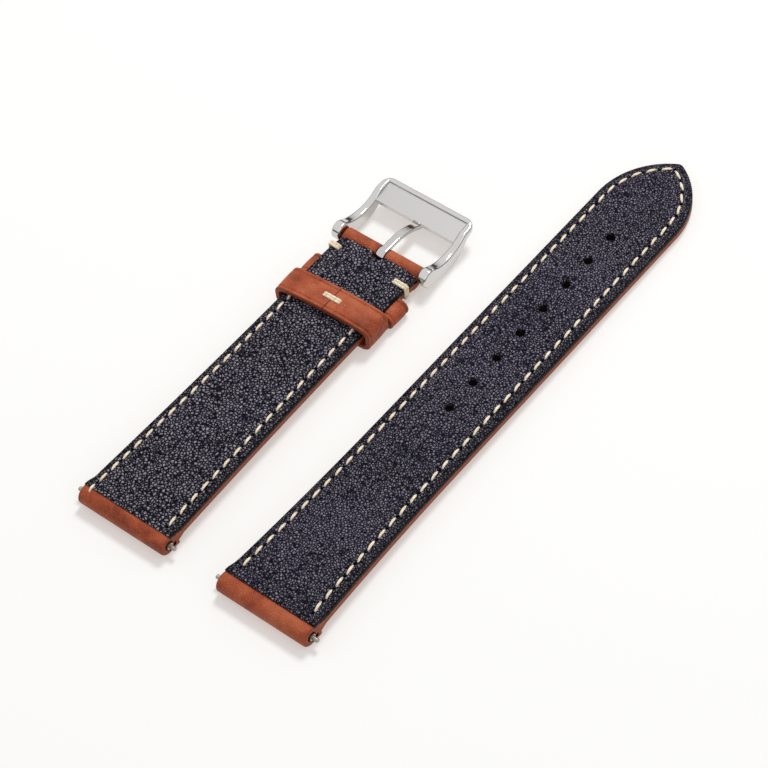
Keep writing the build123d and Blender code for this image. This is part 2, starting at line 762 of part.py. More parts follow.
# Free keeper: a loop that slides, closed by a seam across its band
free_keeper_place = across(free_keeper_x, short_y, free_keeper_skew)
keeper_crest = lug_end_height + free_keeper_clearance + keeper_wall + free_keeper_arch
with BuildPart() as free_keeper:
    extrude(free_keeper_outline(0), amount=free_keeper_width / 2, both=True)
    extrude(free_keeper_outline(keeper_wall), amount=free_keeper_width, both=True, mode=Mode.SUBTRACT)
    with BuildSketch(free_keeper_place):
        with Locations((-keeper_seam_offset, keeper_crest)):
            Rectangle(keeper_seam, 4 * keeper_wall)
    extrude(amount=free_keeper_width, both=True, mode=Mode.SUBTRACT)
    for reach in (-keeper_stitch_length / 2, keeper_stitch_length / 2):
        for shift in (-keeper_stitch_spacing / 2, keeper_stitch_spacing / 2):
            spot = Pos(reach - keeper_seam_offset, keeper_crest, shift) * Rot(90, 0, 0)
            awl = Cylinder(keeper_hole_radius, 4 * keeper_wall, mode=Mode.PRIVATE)
            add(free_keeper_place * spot * awl, mode=Mode.SUBTRACT)
free_keeper.part.label = "free_keeper"
export_step(free_keeper.part, "parts/free_keeper.step")

with BuildPart() as free_keeper_thread:
    for shift in (-keeper_stitch_spacing / 2, keeper_stitch_spacing / 2):
        with BuildSketch(free_keeper_place.offset(shift)):
            with Locations((-keeper_seam_offset, keeper_crest - keeper_wall / 2)):
                span = keeper_wall + 2 * keeper_thread_clearance
                outer_span = span + 2 * keeper_thread
                RectangleRounded(keeper_stitch_length + keeper_thread, outer_span, keeper_thread)
                Rectangle(keeper_stitch_length - keeper_thread, span, mode=Mode.SUBTRACT)
        extrude(amount=keeper_thread / 2, both=True)
free_keeper_thread.part.label = "free_keeper_thread"
export_step(free_keeper_thread.part, "parts/free_keeper_thread.step")

# Spring bars: a tube, its spring and two tips that push in
lug_lip_radius = lug_stem_radius + running_clearance
buckle_lip_radius = buckle_stem_radius + running_clearance
short_lug_place = bar_place(lug_bar_x, short_y, lug_bar_z)
tail_lug_place = bar_place(lug_bar_x, tail_y, lug_bar_z)
buckle_place = bar_place(buckle_bar_x, short_y, buckle_bar_height)
short_lug_axis = Axis(short_lug_place.origin, (0, 1, 0))
tail_lug_axis = Axis(tail_lug_place.origin, (0, 1, 0))
buckle_axis = Axis(buckle_place.origin, (0, 1, 0))
lug_tube_sizes = (lug_tube_radius, lug_tube_length, lug_lip_radius)
buckle_tube_sizes = (buckle_tube_radius, buckle_tube_length, buckle_lip_radius)
lug_sizes = (lug_tube_radius, lug_tube_length, lug_bar_length, lug_stem_radius, lug_tip_radius, True)
buckle_sizes = (
    buckle_tube_radius, buckle_tube_length, buckle_bar_length, buckle_stem_radius, buckle_tip_radius, False,
)

with BuildPart() as short_lug_bar_tube:
    revolve(tube_section(short_lug_place, *lug_tube_sizes), axis=short_lug_axis)
short_lug_bar_tube.part.label = "short_lug_bar_tube"
export_step(short_lug_bar_tube.part, "parts/short_lug_bar_tube.step")

with BuildPart() as short_lug_bar_tip_left:
    revolve(tip_section(short_lug_place, 1, *lug_sizes), axis=short_lug_axis)
short_lug_bar_tip_left.part.label = "short_lug_bar_tip_left"
export_step(short_lug_bar_tip_left.part, "parts/short_lug_bar_tip_left.step")

with BuildPart() as short_lug_bar_tip_right:
    revolve(tip_section(short_lug_place, -1, *lug_sizes), axis=short_lug_axis)
short_lug_bar_tip_right.part.label = "short_lug_bar_tip_right"
export_step(short_lug_bar_tip_right.part, "parts/short_lug_bar_tip_right.step")

with BuildPart() as short_lug_bar_spring:
    with BuildLine() as short_coil:
        coil_path(short_lug_place, lug_tube_radius, lug_tube_length)
    with BuildSketch(short_coil.line ^ 0):
        RegularPolygon(spring_wire / 2, spring_wire_sides)
    sweep(path=short_coil.line, is_frenet=True)
short_lug_bar_spring.part.label = "short_lug_bar_spring"
export_step(short_lug_bar_spring.part, "parts/short_lug_bar_spring.step")

with BuildPart() as tail_lug_bar_tube:
    revolve(tube_section(tail_lug_place, *lug_tube_sizes), axis=tail_lug_axis)
tail_lug_bar_tube.part.label = "tail_lug_bar_tube"
export_step(tail_lug_bar_tube.part, "parts/tail_lug_bar_tube.step")

with BuildPart() as tail_lug_bar_tip_left:
    revolve(tip_section(tail_lug_place, 1, *lug_sizes), axis=tail_lug_axis)
tail_lug_bar_tip_left.part.label = "tail_lug_bar_tip_left"
export_step(tail_lug_bar_tip_left.part, "parts/tail_lug_bar_tip_left.step")

with BuildPart() as tail_lug_bar_tip_right:
    revolve(tip_section(tail_lug_place, -1, *lug_sizes), axis=tail_lug_axis)
tail_lug_bar_tip_right.part.label = "tail_lug_bar_tip_right"
export_step(tail_lug_bar_tip_right.part, "parts/tail_lug_bar_tip_right.step")

with BuildPart() as tail_lug_bar_spring:
    with BuildLine() as tail_coil:
        coil_path(tail_lug_place, lug_tube_radius, lug_tube_length)
    with BuildSketch(tail_coil.line ^ 0):
        RegularPolygon(spring_wire / 2, spring_wire_sides)
    sweep(path=tail_coil.line, is_frenet=True)
tail_lug_bar_spring.part.label = "tail_lug_bar_spring"
export_step(tail_lug_bar_spring.part, "parts/tail_lug_bar_spring.step")

with BuildPart() as buckle_bar_tube:
    revolve(tube_section(buckle_place, *buckle_tube_sizes), axis=buckle_axis)
buckle_bar_tube.part.label = "buckle_bar_tube"
export_step(buckle_bar_tube.part, "parts/buckle_bar_tube.step")

with BuildPart() as buckle_bar_tip_left:
    revolve(tip_section(buckle_place, 1, *buckle_sizes), axis=buckle_axis)
buckle_bar_tip_left.part.label = "buckle_bar_tip_left"
export_step(buckle_bar_tip_left.part, "parts/buckle_bar_tip_left.step")

with BuildPart() as buckle_bar_tip_right:
    revolve(tip_section(buckle_place, -1, *buckle_sizes), axis=buckle_axis)
buckle_bar_tip_right.part.label = "buckle_bar_tip_right"
export_step(buckle_bar_tip_right.part, "parts/buckle_bar_tip_right.step")

with BuildPart() as buckle_bar_spring:
    with BuildLine() as buckle_coil:
        coil_path(buckle_place, buckle_tube_radius, buckle_tube_length)
    with BuildSketch(buckle_coil.line ^ 0):
        RegularPolygon(spring_wire / 2, spring_wire_sides)
    sweep(path=buckle_coil.line, is_frenet=True)
buckle_bar_spring.part.label = "buckle_bar_spring"
export_step(buckle_bar_spring.part, "parts/buckle_bar_spring.step")

# Buckle: the side view of its two arms, measured from the bar
buckle_side = Plane(origin=(buckle_bar_x, short_y, buckle_bar_height), x_dir=(1, 0, 0), z_dir=(0, -1, 0))
dip_rise = arm_dip_height - arm_end_rise
dip_radius = (arm_dip_reach**2 + dip_rise**2 - arm_end_radius**2) / (2 * (arm_end_radius - dip_rise))
dip_scale = arm_end_radius / (dip_radius + arm_end_radius)
arm_top_start = (arm_dip_reach * dip_scale, arm_end_rise + (dip_rise + dip_radius) * dip_scale)
low_drop = arm_low_drop + arm_end_rise
low_radius = (arm_low_reach**2 + low_drop**2 - arm_end_radius**2) / (2 * (low_drop - arm_end_radius))
low_scale = arm_end_radius / (low_radius - arm_end_radius)
arm_bottom_start = (-arm_low_reach * low_scale, arm_end_rise - (low_radius - low_drop) * low_scale)


def plate_back(reach):
    """Height of the plate's back above the bar."""
    share = (reach - plate_reach) / (lip_reach - plate_reach)
    return between(plate_inner_height, plate_outer_height, share)


def plate_under(reach):
    """Height of the plate's underside above the bar."""
    share = (reach - plate_reach) / (lip_reach - plate_reach)
    return plate_back(reach) - between(plate_inner_thickness, plate_outer_thickness, share)


def along_arm_top(edge):
    """Whether an edge runs along the arms' tops or the rim, rather than across an arm."""
    middle = edge @ 0.5
    spot = Vector(middle.X - buckle_bar_x, middle.Z - buckle_bar_height)
    crosses = abs((edge % 0.5).Y) > abs((edge % 0.5).X) and edge.length < buckle_corner
    return min(line.distance_to(spot) for line in (arm_back, arm_rise, arm_rim)) < glue_line and not crosses


rim_start = (rim_start_reach, rim_start_height)
underside_start = (underside_reach, plate_under(underside_reach))
with BuildPart() as buckle_frame:
    with BuildSketch(buckle_side) as arm_outline:
        with BuildLine():
            ThreePointArc(arm_top_start, (-arm_end_radius, arm_end_rise), arm_bottom_start)
            arm_back = TangentArc((arm_dip_reach, arm_dip_height), arm_top_start, tangent=(-1, 0))
            arm_rise = TangentArc((arm_dip_reach, arm_dip_height), rim_start, tangent=(1, 0))
            arm_rim = Line(rim_start, (buckle_reach, rim_height))
            Line((buckle_reach, rim_height), (buckle_reach, plate_under(buckle_reach)))
            Line((buckle_reach, plate_under(buckle_reach)), underside_start)
            TangentArc((arm_low_reach, -arm_low_drop), underside_start, tangent=(1, 0))
            TangentArc((arm_low_reach, -arm_low_drop), arm_bottom_start, tangent=(-1, 0))
        make_face()
    extrude(amount=buckle_width / 2, both=True)
    with BuildSketch(Plane((0, short_y, 0))) as buckle_plan:
        with BuildLine():
            Polyline(
                (buckle_bar_x - 2 * arm_end_radius, -buckle_width / 2),
                (buckle_bar_x, -buckle_width / 2),
                (buckle_bar_x + buckle_reach, -buckle_outer_width / 2),
                (buckle_bar_x + buckle_reach, buckle_outer_width / 2),
                (buckle_bar_x, buckle_width / 2),
                (buckle_bar_x - 2 * arm_end_radius, buckle_width / 2),
                close=True,
            )
        make_face()
        fillet(buckle_plan.vertices().group_by(Axis.X)[-1], buckle_corner)
    extrude(amount=2 * clear_height, mode=Mode.INTERSECT)
    with BuildSketch(buckle_side):
        with BuildLine():
            Polyline(
                (-2 * arm_end_radius, -clear_height),
                (lip_reach, -clear_height),
                (lip_reach, clear_height),
                (-2 * arm_end_radius, clear_height),
                close=True,
            )
        make_face()
    extrude(amount=buckle_window_width / 2, both=True, mode=Mode.SUBTRACT)
    with BuildSketch(buckle_side):
        with BuildLine():
            Polyline(
                (plate_reach, plate_back(plate_reach)),
                (buckle_reach - rim_lap, plate_back(buckle_reach - rim_lap)),
                (buckle_reach - rim_lap, plate_under(buckle_reach - rim_lap)),
                (plate_reach, plate_under(plate_reach)),
                close=True,
            )
        make_face()
    extrude(amount=buckle_window_width / 2 + rim_lap, both=True)
    fillet(buckle_frame.edges().filter_by(along_arm_top), buckle_edge_round)
    add(buckle_place * Rot(0, 90, 0) * Cylinder(
        buckle_tip_radius + running_clearance, buckle_window_width + 2 * arm_hole_depth, mode=Mode.PRIVATE,
    ), mode=Mode.SUBTRACT)
buckle_frame.part.label = "buckle_frame"
export_step(buckle_frame.part, "parts/buckle_frame.step")

# Tongue: a loop round the bar's tube and a bent finger that hangs under the plate
tongue_loop_radius = buckle_tunnel_radius + tongue_loop_wall
with BuildPart() as tongue:
    with BuildLine(buckle_side) as finger:
        finger_flat = Line((0, tongue_loop_radius - tongue_thickness / 2),
                           (tongue_flat, tongue_loop_radius - tongue_thickness / 2))
        finger_bend = JernArc(finger_flat @ 1, finger_flat % 1, tongue_bend_radius, -tongue_bend)
        finger_run = Line(finger_bend @ 1, finger_bend @ 1 + (finger_bend % 1) * tongue_straight)
        finger_flick = JernArc(finger_run @ 1, finger_run % 1, tongue_flick_radius, tongue_flick)
        Line(finger_flick @ 1, finger_flick @ 1 + (finger_flick % 1) * tongue_tip_length)
    with BuildSketch(Plane(origin=finger.line @ 0, x_dir=(0, 1, 0), z_dir=(1, 0, 0))):
        RectangleRounded(tongue_width, tongue_thickness, tongue_corner)
    sweep(path=finger.line)
    with BuildSketch(buckle_side):
        Circle(tongue_loop_radius)
    extrude(amount=tongue_width / 2, both=True)
    with BuildSketch(buckle_side):
        Circle(buckle_tunnel_radius)
    extrude(amount=tongue_width, both=True, mode=Mode.SUBTRACT)
tongue.part.label = "tongue"
export_step(tongue.part, "parts/tongue.step")
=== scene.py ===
"""Looks for the two-piece leather watch strap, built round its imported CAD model.

Lengths are millimetres in the part's own frame until a mesh is made, and metres after that.
"""

import logging
from collections.abc import Callable
from dataclasses import dataclass, field
from enum import Enum
from math import acos, atan2, cos, pi, radians, sin, sqrt

import bmesh
import bpy
import numpy as np
from mathutils import Matrix, Vector


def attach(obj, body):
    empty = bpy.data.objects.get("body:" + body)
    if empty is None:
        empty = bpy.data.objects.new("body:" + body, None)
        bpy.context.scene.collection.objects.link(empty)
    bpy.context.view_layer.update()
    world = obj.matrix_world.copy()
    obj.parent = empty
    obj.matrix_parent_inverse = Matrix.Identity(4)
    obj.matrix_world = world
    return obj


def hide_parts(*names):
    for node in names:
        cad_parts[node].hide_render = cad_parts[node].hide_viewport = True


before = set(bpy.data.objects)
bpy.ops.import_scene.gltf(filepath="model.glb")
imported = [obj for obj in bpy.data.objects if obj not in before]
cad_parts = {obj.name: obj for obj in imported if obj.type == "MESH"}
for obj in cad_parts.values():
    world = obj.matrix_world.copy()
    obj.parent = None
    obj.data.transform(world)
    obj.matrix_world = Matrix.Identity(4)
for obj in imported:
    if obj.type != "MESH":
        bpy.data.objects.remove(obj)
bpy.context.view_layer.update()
log = logging.getLogger("watch_strap")

MM = 0.001

# How meshes are made: the angle past which an edge stays sharp, how far a cutter reaches past what it cuts,
# how close two vertices are that count as one, and what counts as no angle
SHARP_ANGLE = radians(38)
OVERRUN = 1.0
WELD = 0.002
TINY = 1e-6

# Both halves, as the CAD part has them
TAIL_END = 62.5
LUG_END = -62.5
TAIL_Y = -16.1
SHORT_Y = 16.1
LUG_HALF = 9.95
FLARE_START = 4.0
LUG_HEIGHT = 4.45
LINING = 0.9
TOP = 1.15

# The folds round the bars: outer radius, radius of the tunnel, and how far they run into the stack
LUG_FOLD = 2.1
LUG_TUNNEL = 0.95
LUG_FOLD_REACH = 2.6
BUCKLE_FOLD = 1.75
BUCKLE_TUNNEL = 0.8
LUG_BAR_X = LUG_END + LUG_FOLD
LUG_BAR_Z = LUG_FOLD
BUCKLE_BAR_X = 12.15
BUCKLE_BAR_Z = 2.65

# The padded face: how far in from the rim it is drawn up, over what run, and how much
DOME_MARGIN = 4.5
DOME_RUN = 4.0
DOME_RISE = 1.35
FLAT_RISE = 0.05

# Stitches, and the groove that they lie in on the face
STITCH_PITCH = 3.0
GROOVE_DEPTH = 0.45

# The blasted field on the buckle's plate, out from the bar and to both sides of the middle
PLATE_START = 9.5
PLATE_END = 13.65
PLATE_HALF = 9.2

# Where the free keeper sits and how askew, and the height of the tacks' tops
FREE_KEEPER_X = -3.3
FREE_KEEPER_SKEW = 2.0
TACK_TOP = 4.5

# Distances in from the rim at which each mesh has its vertices, closest where its surface turns
LAYER_INSETS = (
    0, 0.02, 0.06, 0.12, 0.2, 0.3, 0.45, 0.7, 1.0, 1.3, 1.5,
    1.7, 1.9, 2.1, 2.3, 2.6, 3.2, 4.0, 5.0, 6.0, 7.0, 8.0,
)
FOLD_INSETS = (0, 0.02, 0.06, 0.12, 0.2, 0.32, 0.5, 1.0, 2.5, 5.0)
BAND_INSETS = (0, 0.02, 0.05, 0.1, 0.18, 0.3, 0.45, 0.58, 0.68, 0.75, 0.82, 0.92, 1.05, 1.4, 2.0)

# A thread's plies, how far each stands out, and the points round it
PLIES = 3
PLY_SWELL_SHARE = 0.11
THREAD_SIDES = 12

# Steps round a punch, round its flared mouth and round a slot's end, and that end's largest corner
PUNCH_SIDES = 40
FLARE_STEPS = 6
SLOT_STEPS = 13
SLOT_CORNER = 0.5

# A closed body as points and faces, a height along the strap, and a height from x and the distance in
Body = tuple[np.ndarray, list]
Height = Callable[[float], float]
Surface = Callable[[np.ndarray, np.ndarray], np.ndarray]


class Side(Enum):
    """Which side of the layers a row of stitches lies on."""

    LINING = 1
    FACE = -1


def srgb(code: str) -> tuple[float, float, float, float]:
    """Turn an sRGB hex colour into the linear colour that the shaders use.

    Args:
        code: a colour such as "#A05A3C".

    Returns:
        The linear red, green, blue and an alpha of 1.
    """
    parts = [int(code[i : i + 2], 16) / 255 for i in (1, 3, 5)]
    linear = [c / 12.92 if c <= 0.04045 else ((c + 0.055) / 1.055) ** 2.4 for c in parts]
    return (*linear, 1.0)


def add_node(tree: bpy.types.NodeTree, kind: str, inputs: dict | None = None, **settings) -> bpy.types.Node:
    """Add a node with its settings, values and links.

    Args:
        tree: the node tree to add to.
        kind: the node's type name.
        inputs: input name or number to a value, or to the socket that feeds it.
        settings: the node's own properties.

    Returns:
        The new node.
    """
    node = tree.nodes.new(kind)
    for name, value in settings.items():
        setattr(node, name, value)
    for key, value in (inputs or {}).items():
        if isinstance(value, bpy.types.NodeSocket):
            tree.links.new(value, node.inputs[key])
        else:
            node.inputs[key].default_value = value
    return node


def new_material(name: str) -> tuple[bpy.types.Material, bpy.types.NodeTree, bpy.types.Node]:
    """Make an empty material.

    Args:
        name: the real material's name.

    Returns:
        The material, its node tree and its output node.
    """
    material = bpy.data.materials.new(name)
    material.use_nodes = True
    tree = material.node_tree
    tree.nodes.clear()
    return material, tree, tree.nodes.new("ShaderNodeOutputMaterial")


def per_mm(size_mm: float) -> float:
    """Texture scale at which one cell or wave takes this many millimetres."""
    return 1 / (size_mm * MM)


@dataclass(frozen=True)
class LeatherFinish:
    """A drum-dyed leather: mottled in the dye bath, with a grain of small cells and a worn or burnished rim.

    What ends in times or share is measured in the grain's cells, blotch_times in mottles.
    """

    name: str
    colour: str
    shade: str
    glow: str
    grain_mm: float
    grain_depth_mm: float
    mottle_mm: float
    roughness: float
    roughness_spread: float
    edge_colour: str
    margin_mm: float
    margin_shade: float
    # How far the painted shade in the grain's valleys darkens the dye: 1 leaves it as it is
    valley_shade: float = 0.8
    # The colour of the painted highlights on the cells' tops; none when empty
    highlight_colour: str = ""
    specular: float = 0.35
    valley_gloss: float = 0.8
    ior: float = 1.48
    blotch_times: float = 4.0
    wander_times: float = 2.0
    wander_share: float = 0.25
    pore_share: float = 0.45
    margin_fade_mm: float = 0.35
    rim_mm: tuple[float, float] = (0.02, 0.3)
    flattened_mm: tuple[float, float] = (0.1, 0.3)

    def dyed(self, tree: bpy.types.NodeTree, place: bpy.types.NodeSocket,
             mottle: bpy.types.NodeSocket) -> bpy.types.NodeSocket:
        """The dye's colour, uneven in small mottles and large blotches.

        Args:
            tree: the material's node tree.
            place: the object coordinates.
            mottle: the small mottles' noise.

        Returns:
            The colour.
        """
        blotch = add_node(tree, "ShaderNodeTexNoise", {
            "Vector": place, "Scale": per_mm(self.mottle_mm * self.blotch_times),
            "Detail": 3.0, "Roughness": 0.5,
        })
        both = add_node(tree, "ShaderNodeMath", {0: mottle, 1: blotch.outputs["Fac"]}, operation="ADD")
        tone = add_node(tree, "ShaderNodeMapRange", {
            "Value": both.outputs[0], "From Min": 0.78, "From Max": 1.22, "To Min": 0.0, "To Max": 1.0,
        })
        ramp = add_node(tree, "ShaderNodeValToRGB", {"Fac": tone.outputs["Result"]})
        ramp.color_ramp.elements[0].color = srgb(self.shade)
        ramp.color_ramp.elements[1].color = srgb(self.glow)
        ramp.color_ramp.elements.new(0.5).color = srgb(self.colour)
        return ramp.outputs["Color"]

    def cells(self, tree: bpy.types.NodeTree, place: bpy.types.NodeSocket) -> bpy.types.NodeSocket:
        """The grain's cells, a little bent so that no two are alike.

        Args:
            tree: the material's node tree.
            place: the object coordinates.

        Returns:
            The distance from the nearest valley, as a share of a cell.
        """
        wander = add_node(tree, "ShaderNodeTexNoise", {
            "Vector": place, "Scale": per_mm(self.grain_mm * self.wander_times)})
        shifted = add_node(tree, "ShaderNodeVectorMath", {
            0: wander.outputs["Color"], "Scale": self.wander_share * self.grain_mm * MM}, operation="SCALE")
        bent = add_node(tree, "ShaderNodeVectorMath", {0: place, 1: shifted.outputs[0]}, operation="ADD")
        return add_node(tree, "ShaderNodeTexVoronoi", {
            "Vector": bent.outputs[0], "Scale": per_mm(self.grain_mm), "Randomness": 1.0,
        }, feature="DISTANCE_TO_EDGE").outputs["Distance"]

    def grained(self, tree: bpy.types.NodeTree, dye: bpy.types.NodeSocket, pebble: bpy.types.NodeSocket,
                top: bpy.types.NodeSocket, pores: bpy.types.NodeSocket) -> bpy.types.NodeSocket:
        """The colour with painted shade in its valleys and, where the finish names a highlight colour,
        painted highlights on its cells' tops.

        Args:
            tree: the material's node tree.
            dye: the dye's colour.
            pebble: the height of the cells.
            top: 1 on the cells' tops, 0 in the valleys.
            pores: the fine noise that breaks the painted highlights up into specks.

        Returns:
            The colour.
        """
        # Painted shade: the dye is darkened towards the grain's valleys
        valley_shade = add_node(tree, "ShaderNodeMapRange", {
            "Value": pebble, "From Min": 0.2, "From Max": 1.0, "To Min": self.valley_shade, "To Max": 1.0,
        }, interpolation_type="SMOOTHSTEP")
        shaded = add_node(tree, "ShaderNodeMix", {
            "Factor": 1.0, "A": dye, "B": valley_shade.outputs["Result"],
        }, data_type="RGBA", blend_type="MULTIPLY").outputs["Result"]
        if not self.highlight_colour:
            return shaded
        # Painted highlight: the cells' tops are mixed towards the highlight colour, in specks where the fine
        # noise allows
        highlight_speckle = add_node(tree, "ShaderNodeMapRange", {
            "Value": pores, "From Min": 0.38, "From Max": 0.6, "To Min": 0.22, "To Max": 1.0,
        })
        painted_highlight = add_node(tree, "ShaderNodeMath", {0: highlight_speckle.outputs["Result"], 1: top}, operation="MULTIPLY")
        return add_node(tree, "ShaderNodeMix", {
            "Factor": painted_highlight.outputs[0], "A": shaded, "B": srgb(self.highlight_colour),
        }, data_type="RGBA").outputs["Result"]

    def rimmed(self, tree: bpy.types.NodeTree, grain: bpy.types.NodeSocket,
               edge: bpy.types.NodeSocket) -> bpy.types.NodeSocket:
        """The colour with its pressed margin outside the stitches and its cut or burnished rim.

        Args:
            tree: the material's node tree.
            grain: the colour so far.
            edge: millimetres in from the rim.

        Returns:
            The colour.
        """
        margin = add_node(tree, "ShaderNodeMapRange", {
            "Value": edge, "From Min": self.margin_mm, "From Max": self.margin_mm + self.margin_fade_mm,
            "To Min": self.margin_shade, "To Max": 1.0,
        }, interpolation_type="SMOOTHSTEP")
        pressed = add_node(tree, "ShaderNodeMix", {
            "Factor": 1.0, "A": grain, "B": margin.outputs["Result"],
        }, data_type="RGBA", blend_type="MULTIPLY")
        rim = add_node(tree, "ShaderNodeMapRange", {
            "Value": edge, "From Min": self.rim_mm[0], "From Max": self.rim_mm[1],
            "To Min": 1.0, "To Max": 0.0,
        }, interpolation_type="SMOOTHSTEP")
        return add_node(tree, "ShaderNodeMix", {
            "Factor": rim.outputs["Result"], "A": pressed.outputs["Result"], "B": srgb(self.edge_colour),
        }, data_type="RGBA").outputs["Result"]

    def relief(self, tree: bpy.types.NodeTree, edge: bpy.types.NodeSocket, pebble: bpy.types.NodeSocket,
               pores: bpy.types.NodeSocket) -> bpy.types.NodeSocket:
        """The bump of cells and pores, pressed flat towards the rim.

        Args:
            tree: the material's node tree.
            edge: millimetres in from the rim.
            pebble: the height of the cells.
            pores: the fine noise.

        Returns:
            The normal.
        """
        share = add_node(tree, "ShaderNodeMapRange", {
            "Value": edge, "From Min": self.flattened_mm[0],
            "From Max": self.margin_mm + self.flattened_mm[1], "To Min": 0.15, "To Max": 1.0,
        })
        height = add_node(tree, "ShaderNodeMath", {0: pebble, 1: pores}, operation="ADD")
        return add_node(tree, "ShaderNodeBump", {
            "Strength": share.outputs["Result"], "Distance": self.grain_depth_mm * MM,
            "Height": height.outputs[0],
        }).outputs["Normal"]

    def build(self) -> bpy.types.Material:
        """Make the material.

        Returns:
            The finished material, which reads the mesh's "edge" attribute: millimetres in from the rim.
        """
        material, tree, output = new_material(self.name)
        place = add_node(tree, "ShaderNodeTexCoord").outputs["Object"]
        edge = add_node(tree, "ShaderNodeAttribute", attribute_name="edge").outputs["Fac"]
        mottle = add_node(tree, "ShaderNodeTexNoise", {
            "Vector": place, "Scale": per_mm(self.mottle_mm),
            "Detail": 6.0, "Roughness": 0.62, "Distortion": 0.4,
        }).outputs["Fac"]
        pores = add_node(tree, "ShaderNodeTexNoise", {
            "Vector": place, "Scale": per_mm(self.grain_mm * self.pore_share),
            "Detail": 5.0, "Roughness": 0.6,
        }).outputs["Fac"]
        distance = self.cells(tree, place)
        pebble = add_node(tree, "ShaderNodeMapRange", {
            "Value": distance, "From Min": 0.04, "From Max": 0.42, "To Min": 0.0, "To Max": 1.0,
        }, interpolation_type="SMOOTHSTEP").outputs["Result"]
        top = add_node(tree, "ShaderNodeMapRange", {
            "Value": distance, "From Min": 0.07, "From Max": 0.3, "To Min": 0.0, "To Max": 1.0,
        }, interpolation_type="SMOOTHSTEP").outputs["Result"]
        grain = self.grained(tree, self.dyed(tree, place, mottle), pebble, top, pores)
        rough = add_node(tree, "ShaderNodeMapRange", {
            "Value": mottle, "From Min": 0.3, "From Max": 0.7,
            "To Min": self.roughness - self.roughness_spread,
            "To Max": self.roughness + self.roughness_spread,
        })
        gloss = add_node(tree, "ShaderNodeMapRange", {
            "Value": top, "From Min": 0.0, "From Max": 1.0,
            "To Min": self.specular * self.valley_gloss, "To Max": self.specular,
        })
        shader = add_node(tree, "ShaderNodeBsdfPrincipled", {
            "Base Color": self.rimmed(tree, grain, edge), "Roughness": rough.outputs["Result"],
            "IOR": self.ior, "Specular IOR Level": gloss.outputs["Result"],
            "Normal": self.relief(tree, edge, pebble, pores),
        })
        tree.links.new(shader.outputs[0], output.inputs["Surface"])
        return material


@dataclass(frozen=True)
class ThreadFinish:
    """Waxed polyester sewing thread: dull, with fine streaks where its fibres lie."""

    name: str
    colour: str
    shade: str
    streak_mm: float = 0.45
    relief_mm: float = 0.05
    roughness: float = 0.62
    ior: float = 1.5

    def build(self) -> bpy.types.Material:
        """Make the material.

        Returns:
            The finished material.
        """
        material, tree, output = new_material(self.name)
        place = add_node(tree, "ShaderNodeTexCoord").outputs["Object"]
        fibre = add_node(tree, "ShaderNodeTexNoise", {
            "Vector": place, "Scale": per_mm(self.streak_mm), "Detail": 4.0, "Roughness": 0.6,
        })
        ramp = add_node(tree, "ShaderNodeValToRGB", {"Fac": fibre.outputs["Fac"]})
        ramp.color_ramp.elements[0].position = 0.3
        ramp.color_ramp.elements[0].color = srgb(self.shade)
        ramp.color_ramp.elements[1].position = 0.6
        ramp.color_ramp.elements[1].color = srgb(self.colour)
        bump = add_node(tree, "ShaderNodeBump", {
            "Strength": 0.5, "Distance": self.relief_mm * MM, "Height": fibre.outputs["Fac"],
        })
        shader = add_node(tree, "ShaderNodeBsdfPrincipled", {
            "Base Color": ramp.outputs["Color"], "Roughness": self.roughness, "IOR": self.ior,
            "Sheen Weight": 0.2, "Normal": bump.outputs["Normal"],
        })
        tree.links.new(shader.outputs[0], output.inputs["Surface"])
        return material


